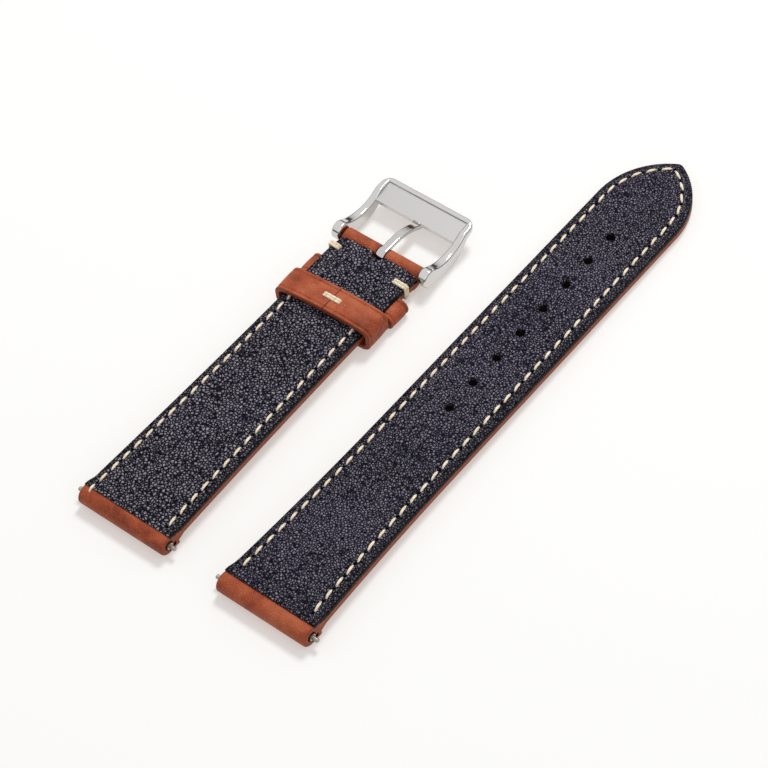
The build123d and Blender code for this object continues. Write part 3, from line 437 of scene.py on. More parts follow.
@dataclass(frozen=True)
class SteelFinish:
    """Stainless steel, turned, drawn or polished, with the faint lines of that work along it."""

    name: str
    colour: str
    roughness: float
    line_mm: float
    line_share: float
    plate_colour: str = ""
    plate_roughness: float = 0.0
    stretch_share: float = 0.06
    relief_mm: float = 0.02

    def build(self) -> bpy.types.Material:
        """Make the material.

        Returns:
            The finished material, with a blasted plate where the finish names its colour.
        """
        material, tree, output = new_material(self.name)
        place = add_node(tree, "ShaderNodeTexCoord").outputs["Object"]
        stretched = add_node(tree, "ShaderNodeMapping", {
            "Vector": place, "Scale": (1.0, self.stretch_share, 1.0)})
        lines = add_node(tree, "ShaderNodeTexNoise", {
            "Vector": stretched.outputs["Vector"], "Scale": per_mm(self.line_mm), "Detail": 3.0,
        })
        rough = add_node(tree, "ShaderNodeMapRange", {
            "Value": lines.outputs["Fac"], "From Min": 0.3, "From Max": 0.7,
            "To Min": self.roughness * (1 - self.line_share),
            "To Max": self.roughness * (1 + self.line_share),
        })
        roughness = rough.outputs["Result"]
        base = srgb(self.colour)
        if self.plate_colour:
            mask = self.plate_mask(tree, place)
            mixed = add_node(tree, "ShaderNodeMix", {
                "Factor": mask, "A": srgb(self.colour), "B": srgb(self.plate_colour),
            }, data_type="RGBA")
            base = mixed.outputs["Result"]
            blasted = add_node(tree, "ShaderNodeMix", {
                "Factor": mask, "A": roughness, "B": self.plate_roughness})
            roughness = blasted.outputs["Result"]
        bump = add_node(tree, "ShaderNodeBump", {
            "Strength": 0.12, "Distance": self.relief_mm * MM, "Height": lines.outputs["Fac"],
        })
        shader = add_node(tree, "ShaderNodeBsdfPrincipled", {
            "Base Color": base, "Metallic": 1.0, "Roughness": roughness, "Normal": bump.outputs["Normal"],
        })
        tree.links.new(shader.outputs[0], output.inputs["Surface"])
        return material

    def plate_mask(self, tree: bpy.types.NodeTree, place: bpy.types.NodeSocket) -> bpy.types.NodeSocket:
        """Where the buckle's plate is blasted: between its rims and inside its outer lip.

        Args:
            tree: the material's node tree.
            place: the object coordinates.

        Returns:
            A factor that is 1 on the plate's back.
        """
        split = add_node(tree, "ShaderNodeSeparateXYZ", {"Vector": place})
        beyond = add_node(tree, "ShaderNodeMath", {
            0: split.outputs["X"], 1: (BUCKLE_BAR_X + PLATE_START) * MM}, operation="GREATER_THAN")
        within = add_node(tree, "ShaderNodeMath", {
            0: split.outputs["X"], 1: (BUCKLE_BAR_X + PLATE_END) * MM}, operation="LESS_THAN")
        off = add_node(tree, "ShaderNodeMath", {0: split.outputs["Y"], 1: SHORT_Y * MM}, operation="SUBTRACT")
        side = add_node(tree, "ShaderNodeMath", {0: off.outputs[0]}, operation="ABSOLUTE")
        inside = add_node(tree, "ShaderNodeMath", {
            0: side.outputs[0], 1: PLATE_HALF * MM}, operation="LESS_THAN")
        first = add_node(tree, "ShaderNodeMath", {
            0: beyond.outputs[0], 1: within.outputs[0]}, operation="MULTIPLY")
        return add_node(tree, "ShaderNodeMath", {
            0: first.outputs[0], 1: inside.outputs[0]}, operation="MULTIPLY").outputs[0]


# Pull-up calf leather, oiled and waxed by hand: a warm tan that is mottled, with a soft low shine and faint
# painted shade in its grain's valleys
TAN_CALF = LeatherFinish(
    "oiled_tan_calf", "#B35433", "#833A20", "#C86B47", grain_mm=0.5, grain_depth_mm=0.08, mottle_mm=4.0,
    roughness=0.46, roughness_spread=0.08, edge_colour="#8E452A", margin_mm=0.5, margin_shade=0.9,
    valley_shade=0.82, specular=0.25,
)
# Lining leather, embossed with a fine pebble and waxed: painted highlights on its tops over painted shade in
# its dull navy valleys
TAIL_LINING_LEATHER = LeatherFinish(
    "navy_lining_fine_grain", "#120E25", "#0E0B1E", "#17122E", grain_mm=0.5, grain_depth_mm=0.16,
    mottle_mm=5.0, roughness=0.44, roughness_spread=0.05, edge_colour="#110F16", margin_mm=0.9,
    margin_shade=0.4, valley_shade=0.5, highlight_colour="#9A95A6", specular=0.24, valley_gloss=0.2,
)
# The same leather with a coarser pebble, whose larger tops carry brighter painted highlights over deeper
# painted shade
SHORT_LINING_LEATHER = LeatherFinish(
    "navy_lining_pebbled", "#120E25", "#0E0B1E", "#17122E", grain_mm=0.58, grain_depth_mm=0.24,
    mottle_mm=5.0, roughness=0.42, roughness_spread=0.05, edge_colour="#110F16", margin_mm=0.9,
    margin_shade=0.4, valley_shade=0.4, highlight_colour="#B4AFBE", specular=0.24, valley_gloss=0.2,
)
# Leather fibre board between both leathers: dull and dark inside, a dark that also serves as painted shade on
# the tongue holes' walls; waxed like the leather at the rim
FIBRE_FILLER = LeatherFinish(
    "leather_fibre_filler", "#2C1612", "#20100D", "#381D17", grain_mm=0.4, grain_depth_mm=0.03,
    mottle_mm=3.0, roughness=0.7, roughness_spread=0.06, edge_colour="#B4603F", margin_mm=0.0,
    margin_shade=1.0, specular=0.1,
)
# Polyester thread, twisted and waxed: cream, with darker streaks. They are drawn coarser than real fibres
CREAM_THREAD = ThreadFinish("waxed_cream_thread", "#FFF2DA", "#D8C29E")
# Cast stainless steel, polished all over, with a plate that is blasted between its rims and so looks matt
BUCKLE_STEEL = SteelFinish(
    "polished_steel_blasted_plate", "#CFCDCB", roughness=0.11, line_mm=0.12, line_share=0.25,
    plate_colour="#ADACAD", plate_roughness=0.5,
)
# Bent stainless steel rod, polished: it mirrors the room
TONGUE_STEEL = SteelFinish("polished_steel", "#C6C4C2", roughness=0.1, line_mm=0.12, line_share=0.25)
# Turned stainless steel: greyer, with soft streaks from the lathe
BAR_STEEL = SteelFinish("turned_steel", "#A5A19C", roughness=0.3, line_mm=0.1, line_share=0.3)
# Drawn spring wire: the dullest of the steels
SPRING_STEEL = SteelFinish("spring_wire", "#807D7A", roughness=0.35, line_mm=0.1, line_share=0.3)


def between(start: float, finish: float, share: float) -> float:
    """The value this share of the way from start to finish."""
    return start + (finish - start) * share


def rounding(depth: np.ndarray, radius: float) -> np.ndarray:
    """How far a rounded corner falls away at each distance in from the rim."""
    inward = np.clip(radius - depth, 0, radius)
    return radius - np.sqrt(radius**2 - inward**2)


def make_object(name: str, points: np.ndarray, faces: list,
                edge: np.ndarray | None = None) -> bpy.types.Object:
    """Make a mesh object from points in millimetres.

    Args:
        name: the piece's name.
        points: its vertices in the row frame, in millimetres.
        faces: lists of vertex numbers.
        edge: millimetres in from the rim at each vertex, for the leather finishes.

    Returns:
        The new object, shaded smooth but for its sharp edges.
    """
    mesh = bpy.data.meshes.new(name)
    mesh.from_pydata((points * MM).tolist(), [], faces)
    if edge is not None:
        mesh.attributes.new("edge", "FLOAT", "POINT").data.foreach_set("value", edge.astype(np.float32))
    mesh.validate()
    mesh.shade_smooth()
    mesh.set_sharp_from_angle(angle=SHARP_ANGLE)
    made = bpy.data.objects.new(name, mesh)
    bpy.context.scene.collection.objects.link(made)
    return made


def bands(rings: int, places: int, closed: bool = False) -> list[tuple[int, ...]]:
    """Faces between rings of vertices that follow each other.

    Args:
        rings: how many rings there are.
        places: the vertices in each.
        closed: whether the last ring joins the first.

    Returns:
        The faces.
    """
    faces = []
    for i in range(rings if closed else rings - 1):
        a, b = i * places, ((i + 1) % rings) * places
        for j in range(places):
            k = (j + 1) % places
            faces.append((a + j, a + k, b + k, b + j))
    return faces


def caps(rings: int, places: int) -> list[tuple[int, ...]]:
    """The end faces on the first and the last ring of vertices."""
    return [tuple(reversed(range(places))), tuple(range((rings - 1) * places, rings * places))]


def skin(outer: np.ndarray, inner: np.ndarray, closed: bool = False, pointed: bool = False) -> Body:
    """Join two surfaces of the same grid into one closed body.

    Args:
        outer: points of the outer surface, as stations by places across.
        inner: points of the inner surface, on the same grid.
        closed: whether the last station joins the first.
        pointed: whether the last station folds together on itself.

    Returns:
        The points and the faces.
    """
    stations, places = outer.shape[:2]
    rings = np.concatenate([outer, inner[:, ::-1]], axis=1)
    count = 2 * places
    faces = bands(stations, count, closed)
    if not closed:
        for j in range(places - 1):
            faces.append((j, count - 1 - j, count - 2 - j, j + 1))
            if not pointed:
                b = (stations - 1) * count
                faces.append((b + j, b + j + 1, b + count - 2 - j, b + count - 1 - j))
    return rings.reshape(-1, 3), faces


def tube(path: np.ndarray, wide: np.ndarray, high: np.ndarray, up: np.ndarray, twist: float,
         closed: bool = False) -> Body:
    """A twisted thread along a path.

    Args:
        path: points along its middle.
        wide: its half width at each point.
        high: its half height at each point.
        up: the direction that counts as its height at each point.
        twist: turns of the plies along the whole path, times their number.
        closed: whether the path is a loop.

    Returns:
        The points and the faces.
    """
    ahead = np.roll(path, -1, 0) - np.roll(path, 1, 0) if closed else np.gradient(path, axis=0)
    ahead /= np.linalg.norm(ahead, axis=1)[:, None]
    side = np.cross(ahead, up)
    side /= np.linalg.norm(side, axis=1)[:, None]
    rise = np.cross(side, ahead)
    sides = THREAD_SIDES
    turn = np.arange(sides) / sides * 2 * pi
    along = np.linspace(0, 1, len(path))[:, None]
    swell = 1 + PLY_SWELL_SHARE * np.cos(PLIES * (turn[None, :] + along * twist * 2 * pi / PLIES))
    points = (
        path[:, None, :]
        + side[:, None, :] * (np.cos(turn)[None, :] * wide[:, None] * swell)[:, :, None]
        + rise[:, None, :] * (np.sin(turn)[None, :] * high[:, None] * swell)[:, :, None]
    )
    faces = bands(len(path), sides, closed)
    if not closed:
        faces += caps(len(path), sides)
    return points.reshape(-1, 3), faces


def join(parts: list[Body]) -> Body:
    """Put several closed bodies into one mesh.

    Args:
        parts: the bodies.

    Returns:
        The points and the faces of all of them.
    """
    points, faces, base = [], [], 0
    for part_points, part_faces in parts:
        points.append(part_points)
        faces += [tuple(base + n for n in face) for face in part_faces]
        base += len(part_points)
    return np.concatenate(points), faces


def cut(target: bpy.types.Object, cutters: list[Body]) -> None:
    """Cut closed bodies out of a piece for good.

    Args:
        target: the piece to cut.
        cutters: the bodies to take away.
    """
    points, faces = join(cutters)
    knife = make_object("cutter", points, faces)
    modifier = target.modifiers.new("cut", "BOOLEAN")
    modifier.operation = "DIFFERENCE"
    modifier.solver = "EXACT"
    modifier.object = knife
    bpy.context.view_layer.update()
    graph = bpy.context.evaluated_depsgraph_get()
    mesh = bpy.data.meshes.new_from_object(target.evaluated_get(graph))
    target.modifiers.clear()
    target.data = mesh
    mesh.shade_smooth()
    mesh.set_sharp_from_angle(angle=SHARP_ANGLE)
    bpy.data.objects.remove(knife)


def punch(x: float, y: float, low: float, high: float, radius: float, flare: float) -> Body:
    """A round punch whose mouth flares where it meets the leather at both ends.

    Args:
        x: its place along the strap.
        y: its place across.
        low: height of the lower surface that it goes through.
        high: height of the upper surface.
        radius: the hole's radius.
        flare: how much wider the mouth is.

    Returns:
        The points and the faces.
    """
    sides = PUNCH_SIDES
    steps = np.sin(np.linspace(0, pi / 2, FLARE_STEPS))
    mouth = radius + flare * (1 - steps)
    heights = [low - OVERRUN, *(low + flare * steps), *(high - flare * steps[::-1]), high + OVERRUN]
    radii = [radius + flare, *mouth, *mouth[::-1], radius + flare]
    turn = np.arange(sides) / sides * 2 * pi
    rings = [np.stack([x + r * np.cos(turn), y + r * np.sin(turn), np.full(sides, z)], 1)
             for z, r in zip(heights, radii)]
    return np.concatenate(rings), bands(len(rings), sides) + caps(len(rings), sides)


def smooth(points: np.ndarray) -> np.ndarray:
    """Shares from 0 to 1 eased at both ends."""
    held = np.clip(points, 0, 1)
    return held * held * (3 - 2 * held)


def bell(distance: np.ndarray, width: float) -> np.ndarray:
    """A soft dent's share of its depth at each distance from its middle."""
    return np.exp(-((distance / width) ** 2))


def slab(x0: float, x1: float, y: float, half: float, z0: float, z1: float) -> Body:
    """A slot cutter with a rounded inner end.

    Args:
        x0: where the slot's inner end is.
        x1: where the cutter ends.
        y: the slot's middle.
        half: half of its width.
        z0: the cutter's lower height.
        z1: its upper height.

    Returns:
        The points and the faces.
    """
    turn = np.linspace(pi / 2, 3 * pi / 2, SLOT_STEPS)
    corner = min(SLOT_CORNER, half)
    rim = [(x0 + corner + corner * cos(a), y + (half - corner) * np.sign(sin(a)) + corner * sin(a))
           for a in turn if abs(sin(a)) > TINY]
    rim += [(x1, y - half), (x1, y + half)]
    low = [(px, py, z0) for px, py in rim]
    high = [(px, py, z1) for px, py in rim]
    return np.array(low + high), caps(2, len(rim)) + bands(2, len(rim))


def weld(piece: bpy.types.Object) -> None:
    """Merge the vertices that share a place, so that the mesh is closed.

    Args:
        piece: the piece to close.
    """
    mesh = bmesh.new()
    mesh.from_mesh(piece.data)
    bmesh.ops.remove_doubles(mesh, verts=mesh.verts, dist=WELD * MM)
    bmesh.ops.recalc_face_normals(mesh, faces=mesh.faces)
    mesh.to_mesh(piece.data)
    mesh.free()


def shade_hole_walls(piece: bpy.types.Object, y: float, reach: float) -> None:
    """Count the walls of the holes on a centre line as the inside of the piece, not as its rim, so that they
    take its dark inner colour as painted shade inside the holes.

    Args:
        piece: the piece with the holes.
        y: where the centre line is, in mm.
        reach: how far the change goes to both sides of that line, in mm.
    """
    inward = piece.data.attributes["edge"].data
    for vertex, value in zip(piece.data.vertices, inward):
        if abs(vertex.co.y / MM - y) < reach:
            value.value = reach


def dress(piece: bpy.types.Object, material: bpy.types.Material, body: str,
          nodes: list[str]) -> None:
    """Give a piece its material, the body it rides on and the nodes it stands for.

    Args:
        piece: the piece.
        material: its finish.
        body: the body that carries it.
        nodes: the CAD's soft nodes that it takes the place of.
    """
    piece.data.materials.clear()
    piece.data.materials.append(material)
    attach(piece, body)
    if nodes:
        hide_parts(*nodes)
    log.info("%s: %d faces, rides on %s", piece.name, len(piece.data.polygons), body)


@dataclass
class Plan:
    """A half's outline in plan: straight at the lug, a flare, then straight, and a point or a square end."""

    y: float
    end_half: float
    flare_length: float
    pointed: bool
    tip_radius: float = 16.0
    tip_round: float = 1.2
    tip_steps: int = 7
    row_steps: int = 400
    arc_steps: int = 200

    @property
    def tip_offset(self) -> float:
        """How far past the middle line each tip arc's centre lies."""
        return self.tip_radius - self.end_half

    @property
    def arc_x(self) -> float:
        """Where the tip arcs start."""
        rounded = sqrt((self.tip_radius - self.tip_round) ** 2 - self.tip_offset**2)
        return TAIL_END - rounded - self.tip_round

    def half_width(self, x: float) -> float:
        """Half of the width, which narrows along an arc in the flare.

        Args:
            x: the place along the strap.

        Returns:
            The distance from the middle line to the rim.
        """
        drop = LUG_HALF - self.end_half
        radius = (self.flare_length**2 + drop**2) / (2 * drop)
        run = min(max(LUG_END + FLARE_START + self.flare_length - x, 0), self.flare_length)
        return self.end_half + radius - sqrt(radius**2 - run**2)

    def insets(self, x: float, base: np.ndarray) -> np.ndarray:
        """The distances in from the rim, stretched so that the last reaches the middle line at x."""
        return base * (1 + (self.half_width(x) - base[-1]) / base[-1] * (base / base[-1]))

    def grid(self, start: float, finish: float, base: np.ndarray, step: float) -> np.ndarray:
        """Points over the outline from start to finish.

        Args:
            start: the first x.
            finish: the last x, or the point's end for a pointed half.
            base: distances in from the rim, 0 first and the middle line's last.
            step: distance between stations.

        Returns:
            Stations by places across, each as x, y and the distance in from the rim.
        """
        last = self.arc_x if self.pointed else finish
        rows = []
        for x in np.linspace(start, last, max(2, round((last - start) / step) + 1)):
            inward = self.insets(x, base)
            rows.append(np.stack([np.full_like(inward, x), self.half_width(x) - inward, inward], 1))
        if self.pointed:
            rows += self.point_rows(self.insets(self.arc_x, base), step)
        half = np.array(rows)
        other = half[:, -2::-1].copy()
        other[:, :, 1] *= -1
        whole = np.concatenate([half, other], axis=1)
        whole[:, :, 1] += self.y
        return whole

    def point_rows(self, inward: np.ndarray, step: float) -> list[np.ndarray]:
        """The stations round the point: along its arc, then round its tip.

        Args:
            inward: distances in from the rim.
            step: distance between stations.

        Returns:
            The stations, each as x, y and the distance in from the rim.
        """
        full_turn = acos(self.tip_offset / (self.tip_radius - self.tip_round))
        radius = self.tip_radius - inward
        met = np.arccos(np.clip(self.tip_offset / radius, -1, 1))
        turn = np.where(inward < self.tip_round, full_turn, met)
        rows = []
        for share in np.linspace(0, 1, round(self.tip_radius * full_turn / step) + 1)[1:]:
            lean = share * turn
            rows.append(np.stack([
                self.arc_x + radius * np.sin(lean), radius * np.cos(lean) - self.tip_offset, inward], 1))
        centre = self.arc_x + sqrt((self.tip_radius - self.tip_round) ** 2 - self.tip_offset**2)
        small = np.maximum(self.tip_round - inward, 0)
        rounded = inward < self.tip_round
        for share in np.linspace(0, 1, self.tip_steps)[1:]:
            lean = between(full_turn, pi / 2, share)
            x = np.where(rounded, centre + small * sin(lean), rows[-1][:, 0])
            y = np.where(rounded, small * cos(lean), 0.0)
            rows.append(np.stack([x, y, inward], 1))
        rows[-1][:, 1] = 0.0
        return rows

    def row(self, start: float, finish: float, margin: float) -> np.ndarray:
        """The path of a stitch row at one side.

        Args:
            start: its first x.
            finish: its last x, unless it runs to the middle of the point.
            margin: its distance in from the rim.

        Returns:
            Points along it, as x and y from the middle line.
        """
        xs = np.linspace(start, self.arc_x if self.pointed else finish, self.row_steps)
        path = np.array([(x, self.half_width(x) - margin) for x in xs])
        if self.pointed:
            radius = self.tip_radius - margin
            turn = np.linspace(0, acos(self.tip_offset / radius), self.arc_steps)[1:]
            arc = np.stack([self.arc_x + radius * np.sin(turn), radius * np.cos(turn) - self.tip_offset], 1)
            path = np.concatenate([path, arc])
        return path


def spaced(path: np.ndarray, spaces: int, pitch: float | None = None) -> np.ndarray:
    """Places along a path at even distances.

    Args:
        path: points along it.
        spaces: how many spaces to leave.
        pitch: length of each space, or none to fill the path.

    Returns:
        The places, one more than the spaces.
    """
    run = np.concatenate([[0], np.cumsum(np.linalg.norm(np.diff(path, axis=0), axis=1))])
    marks = np.linspace(0, run[-1] if pitch is None else spaces * pitch, spaces + 1)
    return np.stack([np.interp(marks, run, path[:, k]) for k in range(path.shape[1])], 1)


@dataclass
class StitchRow:
    """Saddle stitches between holes: each dips into a hole at both ends and slants a little."""

    holes: np.ndarray
    side: Side
    length_share: float = 0.74
    width: float = 0.5
    height: float = 0.36
    slant: float = radians(7)
    dip: float = 0.35
    shortest: float = 0.5
    steps: int = 15
    twist: float = 1.6
    end_girth_share: float = 0.28
    plump_share: float = 1.1
    # A hand-sewn row's unevenness, and how far its length, slant and place swing on per stitch, in radians
    length_vary_share: float = 0.05
    slant_vary_share: float = 0.25
    place_vary: float = 0.03
    length_beat: float = 2.4
    slant_beat: float = 1.7
    place_beat: float = 3.1

    def build(self, surface: Height) -> list[Body]:
        """Make the row's stitches.

        Args:
            surface: gives the height of the leather at x.

        Returns:
            One closed body for each stitch.
        """
        bodies = []
        for number, (a, b) in enumerate(zip(self.holes[:-1], self.holes[1:])):
            run = b - a
            length = float(np.hypot(*run))
            if length < self.shortest:
                continue
            ahead = run / length
            aside = np.array([-ahead[1], ahead[0]])
            share = np.linspace(-0.5, 0.5, self.steps)
            vary = 1 + self.length_vary_share * sin(number * self.length_beat)
            slant = self.slant * (1 + self.slant_vary_share * sin(number * self.slant_beat))
            reach = length * self.length_share * vary
            across = share * reach * np.tan(slant) * self.side.value
            middle = (a + b) / 2 + self.place_vary * sin(number * self.place_beat) * aside
            xy = middle + np.outer(share * reach, ahead) + np.outer(across, aside)
            arch = np.sqrt(np.clip(1 - (2 * share) ** 4, 0, 1))
            base = np.array([surface(x) for x in xy[:, 0]])
            z = base + self.side.value * between(-self.dip, self.height / 2, arch)
            bulge = np.sqrt(np.clip(1 - (2 * share) ** 2, 0, 1))
            girth = between(self.end_girth_share, 1, bulge)
            up = np.tile([0.0, 0.0, 1.0], (len(share), 1))
            wide, high = girth * self.width / 2, girth * self.height / 2 * self.plump_share
            bodies.append(tube(np.column_stack([xy, z]), wide, high, up, self.twist))
        return bodies


@dataclass
class StrapHalf:
    """What both halves share: how their layers, fold and rows are made."""

    name: str
    plan: Plan
    body: str
    row_margin: float
    row_start: float
    lining_start: float
    lining_end: float
    body_end: float
    step: float = 0.8
    rim_round: float = 0.28
    press: float = 0.1
    crown_share: float = 0.78
    crown_margin: float = 3.4
    crown_run: float = 3.5
    crown_delay: float = 0.3
    trough: float = 0.5
    groove_width: float = 0.42
    groove_run: float = 0.8
    glue_lap: float = 0.02
    core_setback: float = 1.2
    fold_round: float = 0.4
    mouth_round: float = 0.22
    fold_wear: float = 0.12
    fold_steps: int = 97
    hole_radius: float = 0.2
    hole_flare: float = 0.12
    hole_depth: float = 1.2
    base: np.ndarray = field(init=False)

    def __post_init__(self) -> None:
        """Set the distances in from the rim, close together where the surface turns."""
        self.base = np.array([*LAYER_INSETS, self.plan.end_half])

    def lining_height(self, x: np.ndarray) -> np.ndarray:
        """Height of the lining's surface at x."""
        raise NotImplementedError

    def face_height(self, x: np.ndarray) -> np.ndarray:
        """Height of the face's lowest surface at x."""
        raise NotImplementedError

    def far_end(self) -> float:
        """Where the padding runs out at the end away from the lug."""
        raise NotImplementedError

    def dome(self, x: np.ndarray, inward: np.ndarray) -> np.ndarray:
        """How far the padding draws the face's edges up from the floor.

        Args:
            x: places along the strap.
            inward: distances in from the rim.

        Returns:
            The heights.
        """
        out = (x - LUG_BAR_X) / DOME_RUN
        back = (self.far_end() - x) / (self.far_end() - LUG_BAR_X - DOME_RUN)
        rise = between(FLAT_RISE, DOME_RISE, np.clip(np.minimum(out, back), 0, 1))
        return rise * (np.clip(DOME_MARGIN - inward, 0, DOME_MARGIN) / DOME_MARGIN) ** 2

    def layer(self, name: str, start: float, finish: float, top: Surface,
              bottom: Surface) -> bpy.types.Object:
        """Make one layer of the stack.

        Args:
            name: the piece's name.
            start: its first x.
            finish: its last x, unless it ends in the point.
            top: gives the upper height from x and the distance in from the rim.
            bottom: gives the lower height.

        Returns:
            The layer's closed mesh.
        """
        grid = self.plan.grid(start, finish, self.base, self.step)
        x, y, inward = grid[..., 0], grid[..., 1], grid[..., 2]
        outer = np.stack([x, y, top(x, inward)], -1)
        inner = np.stack([x, y, bottom(x, inward)], -1)
        points, faces = skin(outer, inner, pointed=self.plan.pointed)
        edge = np.concatenate([inward, inward[:, ::-1]], axis=1).reshape(-1)
        piece = make_object(name, points, faces, edge)
        weld(piece)
        return piece

    def crown(self, x: np.ndarray, inward: np.ndarray) -> np.ndarray:
        """How far the lining's edges slope down from the padded middle, away from the lug's fold.

        Args:
            x: places along the strap.
            inward: distances in from the rim.

        Returns:
            The drops, of which none takes up all the room that the padding has at the rim.
        """
        eased = smooth((x - self.lining_start - self.crown_delay) / self.crown_run)
        room = self.lining_height(x) - LINING - self.face_height(x) - self.dome(x, 0 * inward) - TOP
        margin = np.clip(self.crown_margin - inward, 0, None) / self.crown_margin
        return self.crown_share * np.clip(room, 0, None) * eased * margin ** 2

    def row_dent(self, inward: np.ndarray) -> np.ndarray:
        """The shallow trough that the stitches pull into the lining."""
        return self.press * bell(inward - self.row_margin, self.trough)

    def row_height(self, x: float) -> float:
        """Height of the lining's surface under its stitches."""
        margin = np.array(self.row_margin)
        return float(self.lining_height(x) - self.crown(np.array(x), margin) - self.press)

    def lining(self) -> bpy.types.Object:
        """Make the lining leather, with its cut edge and the trough along its stitches.

        Returns:
            The lining.
        """

        def top(x: np.ndarray, inward: np.ndarray) -> np.ndarray:
            """Height of the grain side."""
            fall = self.crown(x, inward) + self.row_dent(inward)
            return self.lining_height(x) - rounding(inward, self.rim_round) - fall

        def bottom(x: np.ndarray, inward: np.ndarray) -> np.ndarray:
            """Height of the flesh side."""
            return self.lining_height(x) - LINING - self.crown(x, inward)

        return self.layer(f"{self.name}_lining_leather", self.lining_start, self.lining_end, top, bottom)

    def face(self) -> bpy.types.Object:
        """Make the face leather, drawn up at its edges by the padding, with its stitch groove.

        Returns:
            The face leather, without its folds.
        """
        groove_start = LUG_END + self.row_start

        def bottom(x: np.ndarray, inward: np.ndarray) -> np.ndarray:
            """Height of the grain side, which lies on the floor."""
            run = smooth((x - groove_start) / self.groove_run + 0.5)
            groove = GROOVE_DEPTH * bell(inward - self.row_margin, self.groove_width) * run
            return self.face_height(x) + self.dome(x, inward) + groove + rounding(inward, self.rim_round)

        def top(x: np.ndarray, inward: np.ndarray) -> np.ndarray:
            """Height of the flesh side."""
            return self.face_height(x) + self.dome(x, inward) + TOP

        return self.layer(f"{self.name}_face_leather", LUG_BAR_X, self.body_end, top, bottom)

    def core(self) -> bpy.types.Object:
        """Make the filler between both leathers, flush with them at the rim.

        Returns:
            The filler.
        """

        def top(x: np.ndarray, inward: np.ndarray) -> np.ndarray:
            """Height at which it is glued to the lining."""
            return self.lining_height(x) - LINING + self.glue_lap - self.crown(x, inward)

        def bottom(x: np.ndarray, inward: np.ndarray) -> np.ndarray:
            """Height at which it is glued to the face."""
            return self.face_height(x) + self.dome(x, inward) + TOP - self.glue_lap

        return self.layer(f"{self.name}_filler", LUG_BAR_X + self.core_setback, self.body_end, top, bottom)

    def roll(self, name: str, bar_x: float, bar_z: float, radius: float, tunnel: float, reach: float,
             low: Height, high: float) -> bpy.types.Object:
        """Make the face leather's fold round a bar, run out into the stack behind it.

        Args:
            name: the piece's name.
            bar_x: the bar's place along the strap.
            bar_z: its height.
            radius: the fold's outer radius.
            tunnel: the radius of the hole through it.
            reach: how far the fold runs into the stack, signed along the strap.
            low: gives the lower height of the stack at x.
            high: the upper height of what it runs into.

        Returns:
            The fold's closed mesh.
        """
        half = self.plan.half_width(bar_x)
        inward = np.array([*FOLD_INSETS, half])
        across = np.concatenate([half - inward, -(half - inward[-2::-1])]) + self.plan.y
        depth = np.concatenate([inward, inward[-2::-1]])
        around = np.linspace(0, 2 * pi, self.fold_steps)[:-1]
        foot = low(bar_x + reach * min(1, abs(radius / reach)))
        rows_out, rows_in = [], []
        for angle in around:
            c, s = cos(angle), sin(angle)
            far = radius
            toward = c * np.sign(reach)
            if toward > TINY:
                along = abs(reach) / toward
                limit = (high if s > 0 else foot) - bar_z
                upright = limit / s if abs(s) > TINY else along
                far = max(radius, min(along, upright if upright > 0 else along))
            out = far - rounding(depth, self.fold_round)
            wall = tunnel + rounding(depth, self.mouth_round)
            rows_out.append(np.stack([bar_x + out * c, across, bar_z + out * s], 1))
            rows_in.append(np.stack([bar_x + wall * c, across, bar_z + wall * s], 1))
        points, faces = skin(np.array(rows_out), np.array(rows_in), closed=True)
        edge = np.tile(np.concatenate([depth, depth]), len(around)) + self.fold_wear
        return make_object(name, points, faces, edge)

    def lug_fold(self, low: Height) -> bpy.types.Object:
        """Make the fold round the lug's bar, over a stack whose lower height low gives."""
        return self.roll(f"{self.name}_lug_fold", LUG_BAR_X, LUG_BAR_Z, LUG_FOLD, LUG_TUNNEL, LUG_FOLD_REACH,
                         low, LUG_HEIGHT - LINING)

    def punch_row(self, piece: bpy.types.Object, holes: np.ndarray) -> None:
        """Punch the stitch holes into the lining side of a piece.

        Args:
            piece: the piece.
            holes: their places, as x and y.
        """
        cut(piece, [punch(x, y, self.row_height(x) - self.hole_depth, self.row_height(x), self.hole_radius,
                          self.hole_flare) for x, y in holes])


@dataclass
class Looks:
    """The finished materials, one for each real finish."""

    calf: bpy.types.Material = field(default_factory=TAN_CALF.build)
    filler: bpy.types.Material = field(default_factory=FIBRE_FILLER.build)
    fine_lining: bpy.types.Material = field(default_factory=TAIL_LINING_LEATHER.build)
    pebbled_lining: bpy.types.Material = field(default_factory=SHORT_LINING_LEATHER.build)
    thread: bpy.types.Material = field(default_factory=CREAM_THREAD.build)
    buckle: bpy.types.Material = field(default_factory=BUCKLE_STEEL.build)
    tongue: bpy.types.Material = field(default_factory=TONGUE_STEEL.build)
    bar: bpy.types.Material = field(default_factory=BAR_STEEL.build)
    spring: bpy.types.Material = field(default_factory=SPRING_STEEL.build)


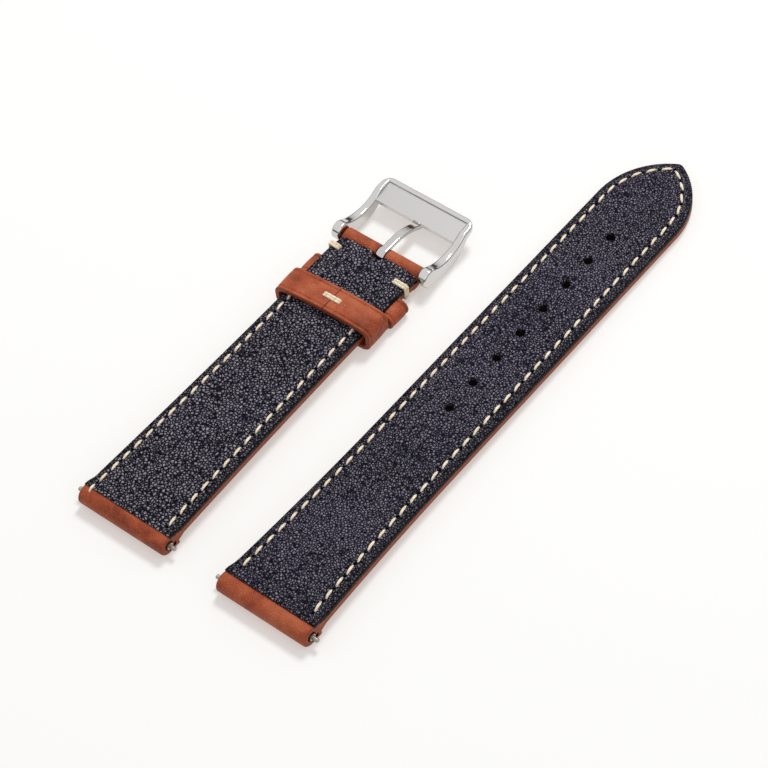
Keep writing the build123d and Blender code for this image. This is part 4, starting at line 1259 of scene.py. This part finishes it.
@dataclass
class Tail(StrapHalf):
    """The long half: pointed, with eight tongue holes, tapering towards its point."""

    tip_height: float = 2.8
    past_point: float = 1.0
    row_spaces: int = 40
    first_hole_x: float = -9.4
    hole_pitch: float = 7.0
    hole_count: int = 8
    tongue_hole_radius: float = 0.85
    mouth_flare: float = 0.2
    inner_flare: float = 0.02
    hole_lap: float = 0.1

    def far_end(self) -> float:
        """The padding runs out at the point."""
        return TAIL_END + self.past_point

    def lining_height(self, x: np.ndarray) -> np.ndarray:
        """The lining falls evenly from the lug to the point."""
        return between(LUG_HEIGHT, self.tip_height, (x - LUG_BAR_X) / (TAIL_END - LUG_BAR_X))

    def face_height(self, x: np.ndarray) -> np.ndarray:
        """The face lies on the floor."""
        return 0.0 * x

    def punch_tongue_holes(self, lining: bpy.types.Object, core: bpy.types.Object,
                           face: bpy.types.Object) -> None:
        """Punch the tongue holes through all the layers.

        Args:
            lining: the lining leather, at which the holes flare.
            core: the filler.
            face: the face leather.
        """
        lap = self.hole_lap
        for piece, top, bottom, flare in (
            (lining, self.lining_height, lambda x: self.lining_height(x) - LINING, self.mouth_flare),
            (core, lambda x: self.lining_height(x) - LINING + lap, lambda x: TOP - lap, self.inner_flare),
            (face, lambda x: TOP + lap, lambda x: -lap, self.inner_flare),
        ):
            for number in range(self.hole_count):
                x = self.first_hole_x + number * self.hole_pitch
                cut(piece, [punch(x, self.plan.y, bottom(x), top(x), self.tongue_hole_radius, flare)])
        # Painted shade: the filler's walls in the tongue holes take its dark inner colour
        shade_hole_walls(core, self.plan.y, 2 * self.tongue_hole_radius)

    def build(self, looks: Looks) -> None:
        """Make and dress every visible piece of the tail.

        Args:
            looks: the finished materials.
        """
        path = self.plan.row(LUG_END + self.row_start, 0, self.row_margin)
        near = spaced(path, self.row_spaces)
        far = near[::-1][1:] * (1, -1)
        holes = np.concatenate([near, far]) + (0, self.plan.y)
        lining, face, core = self.lining(), self.face(), self.core()
        self.punch_row(lining, holes)
        self.punch_tongue_holes(lining, core, face)
        dress(lining, looks.fine_lining, self.body, ["tail_lining"])
        dress(face, looks.calf, self.body, ["tail_top_leather"])
        dress(self.lug_fold(lambda x: 0.0), looks.calf, self.body, [])
        dress(core, looks.filler, self.body, ["tail_core"])
        over = StitchRow(holes, Side.LINING).build(self.row_height)
        under = StitchRow(holes, Side.FACE).build(lambda x: GROOVE_DEPTH)
        thread = make_object("tail_stitches", *join(over + under))
        dress(thread, looks.thread, self.body, ["tail_thread"])


@dataclass
class Short(StrapHalf):
    """The short half, whose end folds round the buckle's bar and carries the keepers."""

    buckle_height: float = 2.55
    face_start: float = 0.05
    fold_low: float = 0.1
    wedge_x: float = 6.55
    fold_lap: float = 0.4
    slot_half: float = 1.1
    slot_x: float = 9.79
    row_spaces: int = 19
    stray_length: float = 2.2
    stray_shift: float = 0.35
    stray_share: float = 0.8
    stray_sink: float = 0.12

    def far_end(self) -> float:
        """The padding runs out at the buckle."""
        return BUCKLE_BAR_X

    def lining_height(self, x: np.ndarray) -> np.ndarray:
        """The lining lies level, because this end rests on the keepers."""
        return LUG_HEIGHT + 0.0 * x

    def face_height(self, x: np.ndarray) -> np.ndarray:
        """The face rises as the half gets thinner, and runs down again to the fold.

        Args:
            x: places along the strap.

        Returns:
            The heights of its lowest surface.
        """
        run = self.lining_end - LUG_BAR_X
        full = LUG_HEIGHT - self.buckle_height
        rise = between(self.face_start, full, (x - LUG_BAR_X) / run)
        top = between(self.face_start, full, (self.wedge_x - LUG_BAR_X) / run)
        fall = between(top, BUCKLE_BAR_Z - BUCKLE_FOLD, (x - self.wedge_x) / (BUCKLE_BAR_X - self.wedge_x))
        return np.where(x > self.wedge_x, fall, rise)

    def face_at(self, x: float) -> float:
        """Height of the face's lowest surface at one place."""
        return self.face_height(np.array(x)).item()

    def stray(self, first: np.ndarray) -> list[Body]:
        """The extra stitch before a row's first hole, which lies over the lug's fold.

        Args:
            first: the row's first hole.

        Returns:
            The stitch, in a list.
        """
        ends = np.array([[first[0] - self.stray_length, first[1]], first]) - (self.stray_shift, 0)
        row = StitchRow(ends, Side.LINING, length_share=self.stray_share)
        return row.build(lambda x: LUG_HEIGHT - self.stray_sink)

    def build(self, looks: Looks) -> None:
        """Make and dress every visible piece of the short half but its keepers.

        Args:
            looks: the finished materials.
        """
        path = self.plan.row(LUG_END + self.row_start, BUCKLE_BAR_X, self.row_margin)
        near = spaced(path, self.row_spaces, STITCH_PITCH)
        left, right = near + (0, self.plan.y), near * (1, -1) + (0, self.plan.y)
        lining, face, core = self.lining(), self.face(), self.core()
        self.punch_row(lining, np.concatenate([left, right]))
        root = self.lug_fold(lambda x: self.fold_low)
        end = self.roll("buckle_fold", BUCKLE_BAR_X, BUCKLE_BAR_Z, BUCKLE_FOLD, BUCKLE_TUNNEL,
                        self.body_end - self.fold_lap - BUCKLE_BAR_X, self.face_at, LUG_HEIGHT - LINING)
        slot = slab(self.slot_x, BUCKLE_BAR_X + BUCKLE_FOLD + OVERRUN, self.plan.y, self.slot_half,
                    -OVERRUN, LUG_HEIGHT + OVERRUN)
        for piece in (end, lining):
            cut(piece, [slot])
        dress(lining, looks.pebbled_lining, self.body, ["short_lining"])
        dress(face, looks.calf, self.body, ["short_top_leather"])
        dress(root, looks.calf, self.body, [])
        dress(end, looks.calf, self.body, [])
        dress(core, looks.filler, self.body, ["short_core"])
        for label, holes, extra in (("left", left, self.stray(left[0])), ("right", right, [])):
            over = StitchRow(holes, Side.LINING).build(self.row_height)
            under = StitchRow(holes, Side.FACE).build(lambda x: self.face_at(x) + GROOVE_DEPTH)
            thread = make_object(f"short_stitches_{label}", *join(over + extra + under))
            dress(thread, looks.thread, self.body, [f"short_thread_{label}"])


@dataclass
class Loop:
    """A band's closed path in a plane across the strap: a box with rounded corners and an arched top."""

    half: float
    low: float
    high: float
    corner: float
    arch: float = 0.0
    base_steps: int = 24
    side_steps: int = 6
    corner_steps: int = 10
    top_steps: int = 40

    def points(self) -> tuple[np.ndarray, np.ndarray]:
        """The corners' centres and the outward directions, once round the loop.

        Returns:
            Points at the corner radius inside the outline, and unit vectors, both as across and up.
        """
        wide = self.half - self.corner
        base, top = self.low + self.corner, self.high - self.corner
        tilt = atan2(2 * self.arch, self.half) if self.arch else 0.0
        right, left = ((wide, base), (wide, top)), ((-wide, top), (-wide, base))
        before = [
            ((-wide, base), right[0], -pi / 2, -pi / 2, self.base_steps),
            (right[0], right[0], -pi / 2, 0, self.corner_steps),
            (*right, 0, 0, self.side_steps),
            (right[1], right[1], 0, pi / 2 - tilt, self.corner_steps),
        ]
        after = [
            (left[0], left[0], pi / 2 + tilt, pi, self.corner_steps),
            (*left, pi, pi, self.side_steps),
            (left[1], left[1], pi, 3 * pi / 2, self.corner_steps),
        ]
        arched = [((-wide * share, top + self.arch * (1 - share**2)), pi / 2 + tilt * share)
                  for share in np.linspace(-1, 1, self.top_steps, endpoint=False)]
        stations = [*self.stretch(before), *arched, *self.stretch(after)]
        cores = [core for core, _ in stations]
        return np.array(cores), np.array([(cos(angle), sin(angle)) for _, angle in stations])

    @staticmethod
    def stretch(runs: list[tuple]) -> list[tuple]:
        """Stations along straight or turning stretches.

        Args:
            runs: for each, its first and last point, first and last direction, and count of stations.

        Returns:
            Each station's point and direction.
        """
        return [
            ((between(a[0], b[0], share), between(a[1], b[1], share)), between(first, last, share))
            for a, b, first, last, count in runs
            for share in np.linspace(0, 1, count, endpoint=False)
        ]


@dataclass
class Keeper:
    """A leather loop across the strap: a band with a crease along each edge and raw cut edges."""

    name: str
    loop: Loop
    x: float
    width: float
    wall: float
    body: str
    node: str
    skew: float = 0.0
    top_wall: float | None = None
    seam: float | None = None
    seam_half: float = 0.06
    seam_reach: float = 3.0
    crease_in: float = 0.75
    crease_depth: float = 0.16
    crease_width: float = 0.13
    edge_round: float = 0.22
    inner_round: float = 0.12
    swell: float = 0.06

    def to_row(self, points: np.ndarray) -> np.ndarray:
        """Turn points into the row frame, skewed as the keeper sits.

        Args:
            points: places given as along, across and up.

        Returns:
            The same places as x, y and z.
        """
        lean = radians(self.skew)
        x = self.x + points[..., 0] * cos(lean) - points[..., 1] * sin(lean)
        y = SHORT_Y + points[..., 0] * sin(lean) + points[..., 1] * cos(lean)
        return np.stack([x, y, points[..., 2]], -1)

    def build(self, material: bpy.types.Material) -> None:
        """Make and dress the band.

        Args:
            material: its leather.
        """
        half = self.width / 2
        near = np.array([*BAND_INSETS, half])
        inward = np.concatenate([near, near[-2::-1]])
        along = np.concatenate([half - near, near[-2::-1] - half])
        crease = self.crease_depth * bell(inward - self.crease_in, self.crease_width)
        fall = rounding(inward, self.edge_round) + crease
        swell = self.swell * np.clip(inward / half, 0, 1)
        cores, normals = self.loop.points()
        outer, inner = [], []
        for (across, up), (ny, nz) in zip(cores, normals):
            share = max(nz, 0) ** 2 if self.top_wall is not None else 0
            wall = between(self.wall, self.top_wall or self.wall, share)
            out = self.loop.corner - fall + swell - self.swell
            back = self.loop.corner - wall + rounding(inward, self.inner_round)
            outer.append(np.stack([along, across + out * ny, up + out * nz], 1))
            inner.append(np.stack([along, across + back * ny, up + back * nz], 1))
        points, faces = skin(self.to_row(np.array(outer)), self.to_row(np.array(inner)), closed=True)
        edge = np.tile(np.concatenate([inward, inward[::-1]]), len(cores))
        band = make_object(self.name, points, faces, edge)
        weld(band)
        if self.seam is not None:
            under = self.loop.high - self.wall
            cut(band, [slab(self.x - self.width, self.x + self.width, SHORT_Y + self.seam, self.seam_half,
                            under - OVERRUN, under + self.seam_reach)])
        dress(band, material, self.body, [self.node])


@dataclass
class Wraps:
    """Threads wrapped side by side round an edge, as a tack or as a seam's closing stitch."""

    name: str
    node: str
    body: str
    x: float
    across: tuple[float, float]
    heights: tuple[float, float]
    thread: float
    spacing: float
    skew: float = 0.0
    count: int = 2
    bend_times: float = 1.7
    waver: float = 0.05
    snug_share: float = 0.96
    twist: float = 9.0

    def build(self, material: bpy.types.Material) -> None:
        """Make and dress the threads.

        Args:
            material: the thread's finish.
        """
        bodies = []
        half = (self.across[1] - self.across[0]) / 2
        middle = (self.across[1] + self.across[0]) / 2
        radius = self.thread / 2
        low, high = self.heights[0] - radius, self.heights[1] + radius
        cores, normals = Loop(half + radius, low, high, self.bend_times * radius).points()
        lean = radians(self.skew)
        across = middle + cores[:, 0] + radius * normals[:, 0]
        up = cores[:, 1] + radius * normals[:, 1]
        waver = self.waver * np.sin(np.linspace(0, 2 * pi, len(up), endpoint=False))
        out = np.stack([0 * up, normals[:, 0], normals[:, 1]], 1)
        size = np.full(len(up), radius * self.snug_share)
        for number in range(self.count):
            along = (number - (self.count - 1) / 2) * self.spacing + waver
            x = self.x + along * cos(lean) - across * sin(lean)
            y = SHORT_Y + along * sin(lean) + across * cos(lean)
            bodies.append(tube(np.stack([x, y, up], 1), size, size, out, self.twist, closed=True))
        thread = make_object(self.name, *join(bodies))
        dress(thread, material, self.body, [self.node])


@dataclass(frozen=True)
class Lamp:
    """A square soft lamp that points at the strap's middle: place and side in metres, power in watts."""

    name: str
    place: tuple[float, float, float]
    side: float
    power: float
    colour: str

    def build(self) -> None:
        """Hang the lamp."""
        data = bpy.data.lights.new(self.name, "AREA")
        data.size = self.side
        data.energy = self.power
        data.color = srgb(self.colour)[:3]
        made = bpy.data.objects.new(self.name, data)
        made.location = self.place
        made.rotation_euler = (-Vector(self.place)).to_track_quat("-Z", "Y").to_euler()
        bpy.context.scene.collection.objects.link(made)


@dataclass
class Studio:
    """A white floor and room, a small soft key from the buckle's side, a wide fill and the camera."""

    # The camera as fitted to the photograph: its place in mm, and its axes
    place: tuple[float, float, float] = (-233.24, -219.58, 399.58)
    right: tuple[float, float, float] = (0.62052, -0.78015, -0.07948)
    down: tuple[float, float, float] = (-0.64892, -0.45392, -0.61063)
    forward: tuple[float, float, float] = (0.4403, 0.43048, -0.78792)
    focal_px: float = 2800.0
    picture_px: float = 768.0
    sensor_mm: float = 36.0
    nearest: float = 0.01
    key: Lamp = Lamp("key", place=(0.45, 0.12, 0.75), side=0.22, power=4.4, colour="#FFFBF5")
    fill: Lamp = Lamp("fill", place=(-0.5, -0.6, 0.7), side=0.9, power=0.8, colour="#F6F9FF")
    room_light: float = 0.5
    # The room that polished steel mirrors, from the horizon up: a dark band low down, white above
    room: tuple[tuple[float, str], ...] = (
        (0.02, "#F4F4F4"), (0.05, "#4A4A4C"), (0.2, "#2E2E30"),
        (0.3, "#DADADA"), (0.5, "#FFFFFF"), (0.95, "#FFFFFF"),
    )
    floor_half: float = 2000.0
    floor_glow: float = 0.44
    card_fibre_mm: float = 0.8
    card_relief_mm: float = 0.02

    def camera(self) -> None:
        """Set the camera where the photograph was taken from."""
        data = bpy.data.cameras.new("camera")
        data.sensor_width = self.sensor_mm
        data.lens = self.focal_px / self.picture_px * self.sensor_mm
        data.clip_start = self.nearest
        made = bpy.data.objects.new("camera", data)
        axes = (Vector(self.right), -Vector(self.down), -Vector(self.forward))
        turn = Matrix(axes).transposed().to_4x4()
        made.matrix_world = Matrix.Translation(Vector(self.place) * MM) @ turn
        bpy.context.scene.collection.objects.link(made)
        bpy.context.scene.camera = made

    def direct(self, tree: bpy.types.NodeTree) -> tuple[bpy.types.NodeSocket, bpy.types.NodeSocket]:
        """Tell the rays that show the white room from those that light the strap.

        Args:
            tree: the node tree to add to.

        Returns:
            A factor that is 1 for camera and mirror rays, and one that is 1 for mirror rays alone.
        """
        path = add_node(tree, "ShaderNodeLightPath")
        mirrored = path.outputs["Is Glossy Ray"]
        shown = add_node(tree, "ShaderNodeMath", {
            0: path.outputs["Is Camera Ray"], 1: mirrored}, operation="MAXIMUM")
        return shown.outputs[0], mirrored

    def walls(self) -> None:
        """Make the white room."""
        world = bpy.data.worlds.new("white_room")
        bpy.context.scene.world = world
        world.use_nodes = True
        tree = world.node_tree
        tree.nodes.clear()
        output = tree.nodes.new("ShaderNodeOutputWorld")
        shown, mirrored = self.direct(tree)
        toward = add_node(tree, "ShaderNodeTexCoord").outputs["Generated"]
        height = add_node(tree, "ShaderNodeSeparateXYZ", {"Vector": toward}).outputs["Z"]
        room = add_node(tree, "ShaderNodeValToRGB", {"Fac": height})
        stops = room.color_ramp.elements
        for stop, (position, code) in zip(stops, (self.room[0], self.room[-1])):
            stop.color, stop.position = srgb(code), position
        for position, code in self.room[1:-1]:
            stops.new(position).color = srgb(code)
        seen = add_node(tree, "ShaderNodeMix", {
            "Factor": mirrored, "A": srgb("#FFFFFF"), "B": room.outputs["Color"]}, data_type="RGBA")
        strength = add_node(tree, "ShaderNodeMix", {"Factor": shown, "A": self.room_light, "B": 1.0})
        backing = add_node(tree, "ShaderNodeBackground", {
            "Color": seen.outputs["Result"], "Strength": strength.outputs["Result"]})
        tree.links.new(backing.outputs[0], output.inputs["Surface"])

    def floor(self) -> None:
        """Make the white card floor, which keeps the strap's shadow."""
        ends = (-self.floor_half, self.floor_half)
        points = np.array([(x, y, 0) for y in ends for x in ends], float)
        plane = make_object("floor", points, [(0, 1, 3, 2)])
        material, tree, output = new_material("matt_white_card")
        fibre = add_node(tree, "ShaderNodeTexNoise", {"Scale": per_mm(self.card_fibre_mm), "Detail": 3.0})
        bump = add_node(tree, "ShaderNodeBump", {
            "Strength": 0.1, "Distance": self.card_relief_mm * MM, "Height": fibre.outputs["Fac"]})
        card = add_node(tree, "ShaderNodeBsdfDiffuse", {
            "Color": srgb("#EDEAE6"), "Normal": bump.outputs["Normal"]})
        # What the camera and the steel see: the lit card and its glow add up to white, with a warm shadow
        lit = add_node(tree, "ShaderNodeBsdfDiffuse", {"Color": srgb("#C5CED2")})
        glow = add_node(tree, "ShaderNodeEmission", {"Color": srgb("#FFF1E8"), "Strength": self.floor_glow})
        bright = add_node(tree, "ShaderNodeAddShader", {0: lit.outputs[0], 1: glow.outputs[0]})
        seen = add_node(tree, "ShaderNodeMixShader", {
            "Fac": self.direct(tree)[0], 1: card.outputs[0], 2: bright.outputs[0]})
        tree.links.new(seen.outputs[0], output.inputs["Surface"])
        plane.data.materials.append(material)

    def build(self) -> None:
        """Set up the camera, the lamps, the room and the floor."""
        self.camera()
        bpy.context.scene.view_settings.view_transform = "Standard"
        self.key.build()
        self.fill.build()
        self.walls()
        self.floor()


def dress_steel(looks: Looks) -> None:
    """Give the CAD's own steel pieces their finishes.

    Args:
        looks: the finished materials.
    """
    finishes = {"buckle_frame": looks.buckle, "tongue": looks.tongue}
    for name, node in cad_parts.items():
        if "_spring" in name:
            finishes[name] = looks.spring
        elif "_bar_" in name:
            finishes[name] = looks.bar
        if name in finishes:
            for place in node.material_slots:
                place.material = finishes[name]
            log.info("%s keeps its CAD shape", name)


def main() -> None:
    """Build the strap piece by piece."""
    looks = Looks()
    Tail(
        name="tail", plan=Plan(y=TAIL_Y, end_half=9.0, flare_length=40.0, pointed=True),
        body="tail_half", row_margin=1.9, row_start=5.0,
        lining_start=-59.5, lining_end=TAIL_END, body_end=TAIL_END,
    ).build(looks)
    Short(
        name="short", plan=Plan(y=SHORT_Y, end_half=9.05, flare_length=60.0, pointed=False),
        body="short_half", row_margin=1.75, row_start=3.9,
        lining_start=-60.1, lining_end=10.79, body_end=9.9,
    ).build(looks)
    Keeper(
        name="free_keeper_band", loop=Loop(half=11.0, low=0.0, high=5.7, corner=2.2, arch=0.5),
        x=FREE_KEEPER_X, width=5.9, wall=1.05, body="free_keeper", node="free_keeper",
        skew=FREE_KEEPER_SKEW, seam=-0.5,
    ).build(looks.calf)
    Keeper(
        name="fixed_keeper_band", loop=Loop(half=11.3, low=0.0, high=3.55, corner=1.755),
        x=2.9, width=5.0, wall=1.05, body="short_half", node="fixed_keeper", top_wall=0.43,
    ).build(looks.calf)
    Wraps(
        name="free_keeper_stitch", node="free_keeper_thread", body="free_keeper", x=FREE_KEEPER_X,
        across=(-2.2, 1.2), heights=(5.12, 6.23), thread=0.52, spacing=0.56, skew=FREE_KEEPER_SKEW,
    ).build(looks.thread)
    for side, x, across, foot in (("left", 8.0, (7.25, 9.15), 1.6), ("right", 7.4, (-9.15, -6.45), 1.75)):
        Wraps(
            name=f"buckle_tack_wraps_{side}", node=f"buckle_tack_{side}", body="short_half", x=x,
            across=across, heights=(foot, TACK_TOP), thread=0.58, spacing=0.6,
        ).build(looks.thread)
    dress_steel(looks)
    Studio().build()


if __name__ == "__main__":
    logging.basicConfig(level=logging.INFO, format="%(name)s: %(message)s")
    main()
